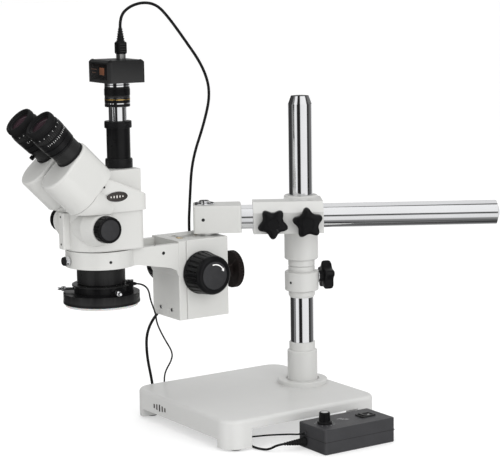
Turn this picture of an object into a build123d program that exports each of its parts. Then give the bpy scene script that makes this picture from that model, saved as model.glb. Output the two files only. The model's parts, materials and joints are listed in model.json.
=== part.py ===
from build123d import *
import math
import os

# Stereo zoom microscope on a single-arm boom stand, with a C-mount camera on its photo port,
# an LED ring light and the ring light's dimmer box. Millimetres, +Z up. The origin is on the
# surface under the middle of the square base; the user sits on the -Y side.

os.makedirs("parts", exist_ok=True)

# ---- driving dimensions: stand ----
BASE_SIDE = 240.0
BASE_TOP = 40.0
BASE_CORNER = 24.0
PAD_HEIGHT = 2.5
PLATE_UNDER = 27.0  # underside of the plate, seen through the side arches
FRONT_ARCH = 13.5  # top of the lower arches, front and back
FOOT_X = 26.0
FOOT_Y = 36.0
POST_R = 16.0
POST_Y = 80.0
POST_TOP = 434.0
POST_CROWN = 11.0
FLANGE_TOP = 46.0
SOCKET_TOP = 98.0
COLLAR_LOW, COLLAR_HIGH = 160.0, 203.0
CLAMP_TOP = 300.0
BIG_R, SMALL_R = 23.0, 18.0  # the two outside radii of collar and clamp
RUN = 0.05  # radial running clearance
GAP = 0.3  # gap between faces that slide past each other

# ---- driving dimensions: boom ----
BOOM_TURN = 31.5  # boom's rear end swings this far from +Y towards +X
BOOM_Z = 277.5
BOOM_OFFSET = 44.0  # between the post's axis and the boom's
BOOM_REAR = 262.0
PIN_STATION = -131.0
BLOCK_FRONT, BLOCK_REAR = -146.0, -82.5
BLOCK_W, BLOCK_H = 45.0, 36.0
HOUSING_FRONT, HOUSING_REAR = -67.0, 26.0
STAR_R = 20.5

# ---- driving dimensions: focus block and holder ----
FOCUS_W = 69.0
FOCUS_FRONT, FOCUS_REAR = -49.8, 14.0  # from the swivel pin, along Y
FOCUS_LOW, FOCUS_TOP = 151.5, 255.8
SLIDE_T = 11.7
KNOB_AXIS_Y, KNOB_AXIS_Z = -28.0, 212.0  # from the swivel pin, above the surface
PINION_R = 8.0
PINION_TEETH = 16
HEAD_FORWARD = 157.8  # from the swivel pin to the head's axis
RING_R, RING_BORE = 45.0, 38.0
RING_LOW, RING_TOP = 231.5, 253.4

# ---- driving dimensions: head ----
BODY_HALF = 43.0
BODY_FRONT_C = -3.6  # centre of the body's round front, from the head's axis
BODY_BACK = 42.5
BODY_LOW, BRIM_Z = 254.0, 304.0
BRIM_OUT = 3.5
TOWER_TOP = 354.5
EYE_TILT = 45.0
EYE_HALF = 28.0  # half the distance between the eyepieces
PIVOT_DROP = 28.5  # from the eyepiece axis to the prism housing's pivot
PRISM_LONG = 51.5
ZOOM_Y, ZOOM_Z = -21.0, 285.5
PORT_Y = 30.5

# ---- driving dimensions: ring light and dimmer box ----
RINGLIGHT_R = 49.0
RINGLIGHT_LOW, RINGLIGHT_TOP = 183.5, 196.5
OBJECTIVE_R = 31.0
BOX_X, BOX_Y = 169.6, 28.7
BOX_W, BOX_L, BOX_H = 58.0, 110.0, 32.0

# ---- cords ----
USB_R, LED_R, POWER_R = 1.9, 1.1, 1.5


# ---- places worked out from the sizes ----
turn = math.radians(BOOM_TURN)
boom_dir = Vector(math.sin(turn), math.cos(turn), 0)
boom_side = Vector(math.cos(turn), -math.sin(turn), 0)
boom_zero = Vector(0, POST_Y, BOOM_Z) + boom_side * BOOM_OFFSET
pin_axis = boom_zero + boom_dir * PIN_STATION
PIN_X, PIN_Y = pin_axis.X, pin_axis.Y
HEAD_X, HEAD_Y = PIN_X, PIN_Y - HEAD_FORWARD
tilt = math.radians(EYE_TILT)
eye_dir = Vector(0, -math.cos(tilt), math.sin(tilt))
BLOCK_LOW, BLOCK_TOP = BOOM_Z - BLOCK_H / 2, BOOM_Z + BLOCK_H / 2
KNOB_Y = PIN_Y + KNOB_AXIS_Y
SLIDE_BACK = PIN_Y + FOCUS_FRONT - GAP
SLIDE_FACE = SLIDE_BACK - SLIDE_T
PORT_AXIS = Vector(HEAD_X, HEAD_Y + PORT_Y, 0)


def keep(builder, name):
    """Label a finished sub-part and write it."""
    builder.part.label = name
    export_step(builder.part, f"parts/{name}.step")


def boom_plane(station, side=0.0):
    """Section plane of the boom: x across to the user's right, y up, normal to the head."""
    at = boom_zero + boom_dir * station + boom_side * side
    return Plane(origin=at, x_dir=boom_side, z_dir=boom_dir * -1)


def side_plane(station, out, rise=0.0):
    """Plane parallel to the boom, facing sideways: x along the boom to the rear, y up."""
    at = boom_zero + boom_dir * station + boom_side * out + Vector(0, 0, rise)
    return Plane(origin=at, x_dir=boom_dir, z_dir=boom_side)


def level(x, y, z):
    """Level plane facing up."""
    return Plane(origin=(x, y, z), x_dir=(1, 0, 0), z_dir=(0, 0, 1))


def front_plane(x, y, z):
    """Upright plane: x to the user's right, y up, normal to the user."""
    return Plane(origin=(x, y, z), x_dir=(1, 0, 0), z_dir=(0, -1, 0))


def rear_plane(x, y, z):
    """Upright plane: y up, normal to the rear."""
    return Plane(origin=(x, y, z), x_dir=(-1, 0, 0), z_dir=(0, 1, 0))


def right_plane(x, y, z):
    """Upright plane: x to the rear, y up, normal to the user's right."""
    return Plane(origin=(x, y, z), x_dir=(0, 1, 0), z_dir=(1, 0, 0))


def eye_plane(side, along, rise=0.0):
    """Plane square to an eyepiece tube: x to the right, y up and back, normal to the eye."""
    foot = Vector(HEAD_X + side * EYE_HALF, HEAD_Y - 53.3, 378.0)
    up = Vector(0, math.sin(tilt), math.cos(tilt))
    return Plane(origin=foot + eye_dir * along + up * rise, x_dir=(1, 0, 0), z_dir=eye_dir)


# ================= stand =================
def make_base():
    low = PAD_HEIGHT
    with BuildPart() as base:
        with BuildSketch(level(0, 0, low)):
            RectangleRounded(BASE_SIDE, BASE_SIDE, BASE_CORNER)
        extrude(amount=BASE_TOP - low)
        fillet(base.faces().sort_by(Axis.Z)[-1].edges(), 5.0)
        # side arches, open right through under the plate
        with BuildSketch(level(0, 0, low)):
            Rectangle(BASE_SIDE + 2, BASE_SIDE - 2 * FOOT_Y)
        extrude(amount=PLATE_UNDER - low, mode=Mode.SUBTRACT)
        # lower arches through the front and back skirts
        with BuildSketch(level(0, 0, low)):
            Rectangle(BASE_SIDE - 2 * FOOT_X, BASE_SIDE + 2)
        extrude(amount=FRONT_ARCH - low, mode=Mode.SUBTRACT)
        # hollow behind the skirts
        with BuildSketch(level(0, 0, low)):
            Rectangle(BASE_SIDE - 2 * FOOT_X, BASE_SIDE - 24)
        extrude(amount=PLATE_UNDER - low, mode=Mode.SUBTRACT)
        # boss under the post and the clearance hole for its bolt
        with BuildSketch(level(0, POST_Y, PLATE_UNDER - 7)):
            Circle(19)
        extrude(amount=9)
        with BuildSketch(level(0, POST_Y, 10)):
            Circle(5.5)
        extrude(amount=40, mode=Mode.SUBTRACT)
    keep(base, "base_plate")

    with BuildPart() as pads:
        reach_x = BASE_SIDE / 2 - FOOT_X / 2 - 1
        reach_y = BASE_SIDE / 2 - FOOT_Y / 2 - 2
        with BuildSketch(level(0, 0, 0)):
            with GridLocations(2 * reach_x, 2 * reach_y, 2, 2):
                Circle(8)
        extrude(amount=PAD_HEIGHT)
    keep(pads, "rubber_feet")


def make_post():
    with BuildPart() as flange:
        with BuildSketch(front_plane(0, POST_Y, 0)):
            with BuildLine():
                Polyline(
                    (POST_R, BASE_TOP),
                    (34, BASE_TOP),
                    (34, FLANGE_TOP - 1),
                    (33, FLANGE_TOP),
                    (23, FLANGE_TOP),
                    (22, FLANGE_TOP - 1.5),
                    (20.5, FLANGE_TOP - 1.5),
                    (20.5, 85),
                    (20, 86),
                    (17.8, 87),
                    (17.8, SOCKET_TOP - 1),
                    (17, SOCKET_TOP),
                    (POST_R, SOCKET_TOP),
                    close=True,
                )
            make_face()
        revolve(axis=Axis((0, POST_Y, 0), (0, 0, 1)))
    keep(flange, "pillar_flange")

    with BuildPart() as post:
        with BuildSketch(level(0, POST_Y, BASE_TOP)):
            Circle(POST_R)
        extrude(amount=POST_TOP - BASE_TOP)
        chamfer(post.edges().sort_by(Axis.Z)[-1], length=POST_CROWN, length2=4.0)
        with BuildSketch(level(0, POST_Y, BASE_TOP + 28)):
            Circle(POST_R - 4)
        extrude(amount=POST_TOP - BASE_TOP - 60, mode=Mode.SUBTRACT)
        with BuildSketch(level(0, POST_Y, BASE_TOP)):
            Circle(5)
        extrude(amount=28, mode=Mode.SUBTRACT)
    keep(post, "pillar")

    with BuildPart() as bolt:
        with BuildSketch(level(0, POST_Y, PLATE_UNDER - 9)):
            Circle(13)
        extrude(amount=2)
        with BuildSketch(level(0, POST_Y, PLATE_UNDER - 16)):
            RegularPolygon(8.5, 6)
        extrude(amount=7)
        with BuildSketch(level(0, POST_Y, PLATE_UNDER - 16)):
            Circle(5)
        extrude(amount=36)
    keep(bolt, "pillar_bolt")


def star(builder_plane, lobe_angle, depth, hub_r, hub_len, stud_r, stud_len):
    """Five-lobed hand knob. The plane sits on the face it screws into, normal outwards."""
    with BuildPart() as knob:
        with BuildSketch(builder_plane.offset(hub_len)):
            Circle(STAR_R - 7.0)
            with PolarLocations(STAR_R - 5.0, 5, start_angle=lobe_angle):
                Circle(5.0)
            with PolarLocations((STAR_R - 5.0) / 2, 5, start_angle=lobe_angle):
                Rectangle(STAR_R - 5.0, 11.0)
        extrude(amount=depth)
        fillet(knob.faces().sort_by(Axis(builder_plane.origin, builder_plane.z_dir))[-1].edges(), 2.0)
        with BuildSketch(builder_plane):
            Circle(hub_r)
        extrude(amount=hub_len)
        with BuildSketch(builder_plane):
            Circle(stud_r)
        extrude(amount=-stud_len)
    return knob


COLLAR_KNOB_TURN = math.radians(16.5)
collar_knob_dir = Vector(math.sin(COLLAR_KNOB_TURN), math.cos(COLLAR_KNOB_TURN), 0)
COLLAR_KNOB_Z = 187.0
STUD_R = 4.0


def make_collar():
    low = COLLAR_LOW
    with BuildPart() as collar:
        with BuildSketch(front_plane(0, POST_Y, 0)):
            with BuildLine():
                Polyline(
                    (POST_R + RUN, low),
                    (SMALL_R - 1.5, low),
                    (SMALL_R, low + 3),
                    (SMALL_R, low + 8),
                    (BIG_R - 1, low + 9.5),
                    (BIG_R, low + 10.5),
                    (BIG_R, 194),
                    (BIG_R - 1, 195.5),
                    (SMALL_R + 0.5, 195.5),
                    (SMALL_R, 196.2),
                    (SMALL_R, COLLAR_HIGH - 1),
                    (SMALL_R - 0.7, COLLAR_HIGH),
                    (POST_R + RUN, COLLAR_HIGH),
                    close=True,
                )
            make_face()
        revolve(axis=Axis((0, POST_Y, 0), (0, 0, 1)))
        at = Vector(0, POST_Y, COLLAR_KNOB_Z) + collar_knob_dir * (POST_R - 1)
        with BuildSketch(Plane(origin=at, z_dir=collar_knob_dir)):
            Circle(STUD_R + RUN)
        extrude(amount=12, mode=Mode.SUBTRACT)
    keep(collar, "safety_collar")

    at = Vector(0, POST_Y, COLLAR_KNOB_Z) + collar_knob_dir * (BIG_R + GAP)
    plane = Plane(origin=at, x_dir=(0, 0, 1), z_dir=collar_knob_dir)
    knob = star(plane, 0, 14.0, 8.8, 5.5, STUD_R, BIG_R + GAP - POST_R - GAP)
    keep(knob, "collar_knob")


FACE_OUT = 22.0  # the clamp's flat face, out from the boom's axis
KNOB_DROP = 5.0  # the clamp knobs sit this far under the boom's axis
KNOB_STATIONS = {"front": -42.0, "rear": 4.0}
POST_LOCK_Z = 262.0


def make_clamp():
    low = COLLAR_HIGH + GAP
    with BuildPart() as clamp:
        # sleeve that turns on the post
        with BuildSketch(front_plane(0, POST_Y, 0)):
            with BuildLine():
                Polyline(
                    (0, low),
                    (SMALL_R - 0.7, low),
                    (SMALL_R, low + 1),
                    (SMALL_R, 211.5),
                    (BIG_R - 1.5, 212.5),
                    (BIG_R, 214),
                    (BIG_R, CLAMP_TOP - 1.2),
                    (BIG_R - 1.2, CLAMP_TOP),
                    (0, CLAMP_TOP),
                    close=True,
                )
            make_face()
        revolve(axis=Axis((0, POST_Y, 0), (0, 0, 1)))
        # housing round the boom, with a bevelled outer top edge
        with BuildSketch(boom_plane(HOUSING_REAR)):
            with BuildLine():
                Polyline(
                    (FACE_OUT, -20.5),
                    (FACE_OUT, 7.5),
                    (FACE_OUT - 13, 20.5),
                    (-BOOM_OFFSET, 20.5),
                    (-BOOM_OFFSET, -20.5),
                    close=True,
                )
            make_face()
        extrude(amount=HOUSING_REAR - HOUSING_FRONT)
        # the housing stops short of the post on its front half
        with BuildSketch(boom_plane(-BIG_R, -BOOM_OFFSET)):
            Rectangle(2 * (BOOM_OFFSET - 20), 60)
        extrude(amount=80, mode=Mode.SUBTRACT)
        with BuildSketch(boom_plane(HOUSING_REAR + 1)):
            Circle(POST_R + RUN)
        extrude(amount=HOUSING_REAR - HOUSING_FRONT + 2, mode=Mode.SUBTRACT)
        with BuildSketch(level(0, POST_Y, low - 1)):
            Circle(POST_R + RUN)
        extrude(amount=CLAMP_TOP - low + 2, mode=Mode.SUBTRACT)
        for station in KNOB_STATIONS.values():
            with BuildSketch(side_plane(station, FACE_OUT + 1, -KNOB_DROP)):
                Circle(STUD_R + RUN)
            extrude(amount=-(FACE_OUT + 1), mode=Mode.SUBTRACT)
        with BuildSketch(side_plane(0, -BOOM_OFFSET - BIG_R - 1, POST_LOCK_Z - BOOM_Z)):
            Circle(STUD_R + RUN)
        extrude(amount=BIG_R, mode=Mode.SUBTRACT)
    keep(clamp, "arm_clamp")

    for word, station in KNOB_STATIONS.items():
        out = math.sqrt(POST_R**2 - KNOB_DROP**2)
        plane = side_plane(station, FACE_OUT + GAP, -KNOB_DROP)
        lobe = -90 if word == "front" else 95
        knob = star(plane, lobe, 13.0, 8.0, 6.0, STUD_R, FACE_OUT - out - 1.2)
        keep(knob, f"clamp_knob_{word}")

    at = Vector(0, POST_Y, POST_LOCK_Z) - boom_side * (BIG_R + GAP)
    plane = Plane(origin=at, x_dir=(0, 0, 1), z_dir=boom_side * -1)
    knob = star(plane, 20, 13.0, 8.0, 6.0, STUD_R, BIG_R - POST_R - 0.5)
    keep(knob, "post_lock_knob")


def make_boom():
    tip = BLOCK_REAR - 32
    with BuildPart() as bar:
        with BuildSketch(boom_plane(BOOM_REAR)):
            Circle(POST_R)
        extrude(amount=BOOM_REAR - tip)
        rear = bar.edges().sort_by(Axis(boom_zero, boom_dir))[-1]
        chamfer(rear, length=4.0, length2=11.0)
        with BuildSketch(boom_plane(BOOM_REAR - 16)):
            Circle(POST_R - 4)
        extrude(amount=BOOM_REAR - 16 - tip, mode=Mode.SUBTRACT)
    keep(bar, "boom_bar")

    with BuildPart() as block:
        with BuildSketch(boom_plane(BLOCK_REAR)):
            Rectangle(BLOCK_W, BLOCK_H)
        extrude(amount=BLOCK_REAR - BLOCK_FRONT)
        fillet(block.edges().filter_by(Axis.Z), 3.0)
        fillet(block.faces().sort_by(Axis.Z)[-1].edges(), 1.2)
        with BuildSketch(boom_plane(BLOCK_REAR + 1)):
            Circle(POST_R + RUN)
        extrude(amount=BLOCK_REAR + 1 - tip, mode=Mode.SUBTRACT)
        with BuildSketch(level(PIN_X, PIN_Y, BLOCK_LOW - 1)):
            Circle(6)
        extrude(amount=BLOCK_H + 2, mode=Mode.SUBTRACT)
        with BuildSketch(side_plane(PIN_STATION - 2, BLOCK_W / 2 + 1)):
            Circle(2.2)
        extrude(amount=-9, mode=Mode.SUBTRACT)
    keep(block, "boom_end_block")


BEARING_LOW = FOCUS_TOP
PIN_LOW = FOCUS_TOP - 22


def make_swivel():
    with BuildPart() as bolt:
        with BuildSketch(level(PIN_X, PIN_Y, PIN_LOW)):
            Circle(6)
        extrude(amount=BLOCK_TOP - PIN_LOW)
        with BuildSketch(level(PIN_X, PIN_Y, BLOCK_TOP)):
            Circle(13.2)
        extrude(amount=2.2)
        with BuildSketch(level(PIN_X, PIN_Y, BLOCK_TOP + 2.2)):
            RegularPolygon(7, 6)
        extrude(amount=3)
    keep(bolt, "swivel_bolt")

    with BuildPart() as bearing:
        with BuildSketch(level(PIN_X, PIN_Y, BEARING_LOW)):
            Circle(18.5)
            Circle(6 + RUN, mode=Mode.SUBTRACT)
        extrude(amount=BLOCK_LOW - BEARING_LOW - 0.1)
    keep(bearing, "swivel_bearing")


# ================= focus block =================
TRACK_W, TRACK_D = 34.0, 12.0  # dovetail track behind the moving plate
RACK_W = 10.0
LOCK_Z = 204.0
LOCK_STAND = 23.5  # stem between the housing's back and the lock knob's disc


def dovetail(width, depth, grow):
    """Half-open dovetail outline, wide side at the back."""
    w, d, flare = width / 2 + grow, depth + grow, 4.0
    with BuildLine() as outline:
        Polyline((-w + flare, -GAP), (w - flare, -GAP), (w, d), (-w, d), close=True)
    make_face(outline.edges())


def make_focus():
    front = PIN_Y + FOCUS_FRONT
    rear = PIN_Y + FOCUS_REAR
    mid = (front + rear) / 2
    with BuildPart() as housing:
        with BuildSketch(level(PIN_X, mid, FOCUS_LOW)):
            RectangleRounded(FOCUS_W, rear - front, 1.5)
        extrude(amount=FOCUS_TOP - FOCUS_LOW)
        chamfer(housing.faces().sort_by(Axis.Z)[-1].edges(), 0.8)
        # dovetail track for the moving plate, open at both ends
        with BuildSketch(level(PIN_X, front, FOCUS_LOW - 1)):
            dovetail(TRACK_W, TRACK_D, GAP)
        extrude(amount=FOCUS_TOP - FOCUS_LOW + 2, mode=Mode.SUBTRACT)
        # pocket for rack and pinion behind the track
        with BuildSketch(level(PIN_X, front + TRACK_D + 9.5, FOCUS_LOW - 1)):
            Rectangle(RACK_W + 4, 20)
        extrude(amount=FOCUS_TOP - FOCUS_LOW + 2, mode=Mode.SUBTRACT)
        with BuildSketch(right_plane(PIN_X, KNOB_Y, KNOB_AXIS_Z)):
            Circle(5 + RUN)
        extrude(amount=FOCUS_W, both=True, mode=Mode.SUBTRACT)
        # bore of the swivel pin
        with BuildSketch(level(PIN_X, PIN_Y, PIN_LOW - 1)):
            Circle(6 + RUN)
        extrude(amount=40, mode=Mode.SUBTRACT)
        with BuildSketch(front_plane(PIN_X, rear + 1, LOCK_Z)):
            Circle(STUD_R + RUN)
        extrude(amount=12, mode=Mode.SUBTRACT)
    keep(housing, "focus_housing")

    with BuildPart() as slide:
        with BuildSketch(level(PIN_X, (SLIDE_BACK + SLIDE_FACE) / 2, FOCUS_LOW)):
            RectangleRounded(FOCUS_W, SLIDE_T, 1.5)
        extrude(amount=FOCUS_TOP - FOCUS_LOW)
        with BuildSketch(level(PIN_X, front, FOCUS_LOW)):
            dovetail(TRACK_W, TRACK_D - GAP, 0)
        extrude(amount=FOCUS_TOP - FOCUS_LOW - 2)
        with BuildSketch(level(PIN_X, front + TRACK_D - 2, FOCUS_LOW - 1)):
            Rectangle(RACK_W, 5)
        extrude(amount=FOCUS_TOP - FOCUS_LOW + 2, mode=Mode.SUBTRACT)
        # two screw heads sunk into the face
        for dx, dz in ((-14, 11), (14, 11)):
            with BuildSketch(front_plane(PIN_X + dx, SLIDE_FACE, FOCUS_LOW + dz)):
                Circle(2.6)
            extrude(amount=-3, mode=Mode.SUBTRACT)
    keep(slide, "focus_slide")

    make_rack(front + TRACK_D - 4.5)
    make_pinion()


def make_rack(back_y):
    """Toothed strip on the back of the dovetail, its teeth pointing to the rear."""
    pitch = 2 * math.pi * PINION_R / PINION_TEETH
    pitch_line = KNOB_Y - PINION_R
    root = pitch_line - 1.0
    count = 26
    with BuildPart() as rack:
        with BuildSketch(right_plane(PIN_X, 0, KNOB_AXIS_Z)):
            span = (count + 1) * pitch
            with Locations(((back_y + root) / 2, 0)):
                Rectangle(root - back_y, span)
            for index in range(count):
                z = (index - (count - 1) / 2) * pitch
                with BuildLine():
                    Polyline(
                        (root - 0.2, z - 0.95),
                        (root - 0.2, z + 0.95),
                        (pitch_line + 0.7, z + 0.35),
                        (pitch_line + 0.7, z - 0.35),
                        close=True,
                    )
                make_face()
        extrude(amount=RACK_W / 2 - 0.2, both=True)
    keep(rack, "focus_rack")


SHAFT_OUT = 6.0  # the pinion shaft reaches this far out of the housing each side


def make_pinion():
    with BuildPart() as pinion:
        with BuildSketch(right_plane(PIN_X, KNOB_Y, KNOB_AXIS_Z)):
            Circle(PINION_R - 1.2)
            # a tooth points at the rack's gap between two teeth
            for index in range(PINION_TEETH):
                with Locations(Rotation(0, 0, 360 * index / PINION_TEETH)):
                    with Locations((-(PINION_R - 0.35), 0)):
                        Trapezoid(2.0, 1.9, 72, rotation=90)
        extrude(amount=RACK_W / 2 - 0.2, both=True)
        with BuildSketch(right_plane(PIN_X, KNOB_Y, KNOB_AXIS_Z)):
            Circle(5)
        extrude(amount=FOCUS_W / 2 + SHAFT_OUT, both=True)
    keep(pinion, "focus_pinion")

    with BuildPart() as knobs:
        for side in (1, -1):
            face = Plane(
                origin=(PIN_X + side * (FOCUS_W / 2 + 0.8), KNOB_Y, KNOB_AXIS_Z),
                x_dir=(0, 0, 1),
                z_dir=(side, 0, 0),
            )
            with BuildSketch(face):
                Circle(28.5)
            extrude(amount=2.5)
            with BuildSketch(face.offset(2.5)):
                Circle(28)
            with BuildSketch(face.offset(30)):
                Circle(25.3)
            loft()
            with BuildSketch(face.offset(30)):
                Circle(25.3)
            with BuildSketch(face.offset(33)):
                Circle(21)
            loft()
            with BuildSketch(face):
                Circle(5)
            extrude(amount=SHAFT_OUT - 0.8, mode=Mode.SUBTRACT)
    keep(knobs, "focus_knobs")


def make_lock_knob():
    rear = PIN_Y + FOCUS_REAR
    back = Plane(origin=(PIN_X, rear + GAP, LOCK_Z), x_dir=(1, 0, 0), z_dir=(0, 1, 0))
    with BuildPart() as knob:
        with BuildSketch(back):
            Circle(8)
        extrude(amount=LOCK_STAND)
        with BuildSketch(back.offset(LOCK_STAND)):
            Circle(25)
        extrude(amount=9)
        chamfer(knob.faces().sort_by(Axis.Y)[-1].edges(), 1.2)
        with BuildSketch(back):
            Circle(STUD_R)
        extrude(amount=-9)
    keep(knob, "swivel_lock_knob")


SCREW_TURN = math.radians(-90.0)  # the holder's thumb screw, from +X
SCREW_Z = 241.0


def screw_plane(out):
    """Plane across the thumb screw, this far from the head's axis."""
    aim = Vector(math.cos(SCREW_TURN), math.sin(SCREW_TURN), 0)
    return Plane(origin=Vector(HEAD_X, HEAD_Y, SCREW_Z) + aim * out, z_dir=aim)


def make_holder():
    wall = 8.0
    with BuildPart() as holder:
        # arm outline seen from the side, deeper towards the plate
        with BuildSketch(right_plane(PIN_X, 0, 0)):
            with BuildLine():
                Polyline(
                    (SLIDE_FACE, RING_TOP),
                    (HEAD_Y, RING_TOP),
                    (HEAD_Y, RING_LOW),
                    (HEAD_Y + 36, RING_LOW),
                    (SLIDE_FACE - 12, 222.5),
                    (SLIDE_FACE - 4, 218.5),
                    (SLIDE_FACE, 209),
                    close=True,
                )
            make_face()
        extrude(amount=FOCUS_W / 2, both=True)
        with BuildSketch(level(HEAD_X, HEAD_Y, RING_LOW)):
            Circle(RING_R)
        extrude(amount=RING_TOP - RING_LOW)
        # open pocket between the arm's two side walls
        with BuildSketch(level(PIN_X, (SLIDE_FACE + HEAD_Y + RING_R) / 2, RING_LOW + 3)):
            Rectangle(FOCUS_W - 2 * wall, SLIDE_FACE - HEAD_Y - RING_R)
        extrude(amount=RING_TOP, mode=Mode.SUBTRACT)
        with BuildSketch(level(HEAD_X, HEAD_Y, RING_LOW - 1)):
            Circle(RING_BORE)
        extrude(amount=RING_TOP, mode=Mode.SUBTRACT)
        # the front half of the arm's block is cut back to the ring
        with BuildSketch(level(HEAD_X, HEAD_Y, RING_LOW - 1)):
            with Locations((0, -RING_R)):
                Rectangle(3 * RING_R, 2 * RING_R)
            Circle(RING_R, mode=Mode.SUBTRACT)
        extrude(amount=RING_TOP, mode=Mode.SUBTRACT)
        with BuildSketch(screw_plane(RING_BORE - 2)):
            Circle(3 + RUN)
        extrude(amount=12, mode=Mode.SUBTRACT)
        # set-screw holes in the side wall and the ring
        with BuildSketch(right_plane(PIN_X + FOCUS_W / 2 - wall - 1, -139.3, 243)):
            Circle(2.2)
        extrude(amount=wall + 3, mode=Mode.SUBTRACT)
    keep(holder, "head_holder")


def make_holder_screw():
    with BuildPart() as screw:
        with BuildSketch(screw_plane(RING_BORE + GAP)):
            Circle(3)
        extrude(amount=RING_R - RING_BORE + 2)
        with BuildSketch(screw_plane(RING_R + 1)):
            Circle(6)
        extrude(amount=8)
    keep(screw, "holder_screw")


# ================= head =================
ZOOM_BOSS = 53.0  # the bosses' faces, out from the head's axis
ZOOM_FACE = 66.5  # and the knobs'
COVER_W = 13.0


def body_outline(grow=0.0):
    """Round front, straight sides and a square back, seen from above."""
    r, back = BODY_HALF + grow, BODY_BACK + grow
    with BuildLine() as outline:
        left = Line((-r, back), (-r, BODY_FRONT_C))
        ThreePointArc(left @ 1, (0, BODY_FRONT_C - r), (r, BODY_FRONT_C))
        Polyline((r, BODY_FRONT_C), (r, back), (-r, back))
    make_face(outline.edges())


def make_zoom_body():
    wall = 4.0
    with BuildPart() as body:
        with BuildSketch(level(HEAD_X, HEAD_Y, BODY_LOW)):
            body_outline()
        extrude(amount=BRIM_Z - BODY_LOW)
        fillet(body.edges().filter_by(Axis.Z).sort_by(Axis.Y)[-2:], 8.0)
        fillet(body.faces().sort_by(Axis.Z)[0].edges(), 2.5)
        # bosses that carry the zoom shaft
        with BuildSketch(level(HEAD_X, HEAD_Y + ZOOM_Y, ZOOM_Z)):
            with BuildLine():
                Polyline(
                    (-ZOOM_BOSS, 0),
                    (-ZOOM_BOSS, 18),
                    (-ZOOM_BOSS + 3, 19.5),
                    (-34, 25),
                    (34, 25),
                    (ZOOM_BOSS - 3, 19.5),
                    (ZOOM_BOSS, 18),
                    (ZOOM_BOSS, 0),
                    close=True,
                )
            make_face()
        revolve(axis=Axis((HEAD_X, HEAD_Y + ZOOM_Y, ZOOM_Z), (1, 0, 0)))
        with BuildSketch(level(HEAD_X, HEAD_Y, BRIM_Z)):
            Rectangle(4 * BODY_HALF, 4 * BODY_HALF)
        extrude(amount=40, mode=Mode.SUBTRACT)
        # narrow upright cover on the front
        with BuildSketch(level(HEAD_X, HEAD_Y - BODY_HALF - 0.5, BODY_LOW + 3)):
            RectangleRounded(COVER_W, 24, 1.5)
        extrude(amount=BRIM_Z - BODY_LOW - 4)
        with BuildSketch(level(HEAD_X, HEAD_Y, BODY_LOW + 8)):
            body_outline(-wall)
        extrude(amount=BRIM_Z - BODY_LOW, mode=Mode.SUBTRACT)
        # neck that turns in the holder's ring
        with BuildSketch(level(HEAD_X, HEAD_Y, RING_LOW)):
            Circle(RING_BORE - RUN)
        extrude(amount=BODY_LOW - RING_LOW + 1)
        with BuildSketch(level(HEAD_X, HEAD_Y, RING_LOW - 1)):
            Circle(26)
        extrude(amount=BODY_LOW - RING_LOW + 20, mode=Mode.SUBTRACT)
        with BuildSketch(right_plane(HEAD_X, HEAD_Y + ZOOM_Y, ZOOM_Z)):
            Circle(4 + RUN)
        extrude(amount=80, both=True, mode=Mode.SUBTRACT)
    keep(body, "zoom_body")


def make_zoom_knobs():
    with BuildPart() as knobs:
        for side in (1, -1):
            face = Plane(
                origin=(HEAD_X + side * (ZOOM_BOSS + 0.4), HEAD_Y + ZOOM_Y, ZOOM_Z),
                x_dir=(0, 0, 1),
                z_dir=(side, 0, 0),
            )
            with BuildSketch(face):
                Circle(17)
            extrude(amount=ZOOM_FACE - ZOOM_BOSS - 0.4, taper=3)
            with BuildSketch(face):
                Circle(4)
            extrude(amount=6, mode=Mode.SUBTRACT)
    keep(knobs, "zoom_knobs")

    with BuildPart() as shaft:
        with BuildSketch(right_plane(HEAD_X, HEAD_Y + ZOOM_Y, ZOOM_Z)):
            Circle(4)
        extrude(amount=ZOOM_BOSS + 6.4, both=True)
    keep(shaft, "zoom_shaft")


SLOPE_RISE = 358.0  # the sloping face runs where z - y is this, y from the head's axis
TOWER_HALF = 28.0
RIDGE_Z, RIDGE_FALL = 342.9, 0.425  # the shoulders' height beside the head's axis, and their slope
SEAT_R = 25.5


def port_level(z):
    return level(PORT_AXIS.X, PORT_AXIS.Y, z)


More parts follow.
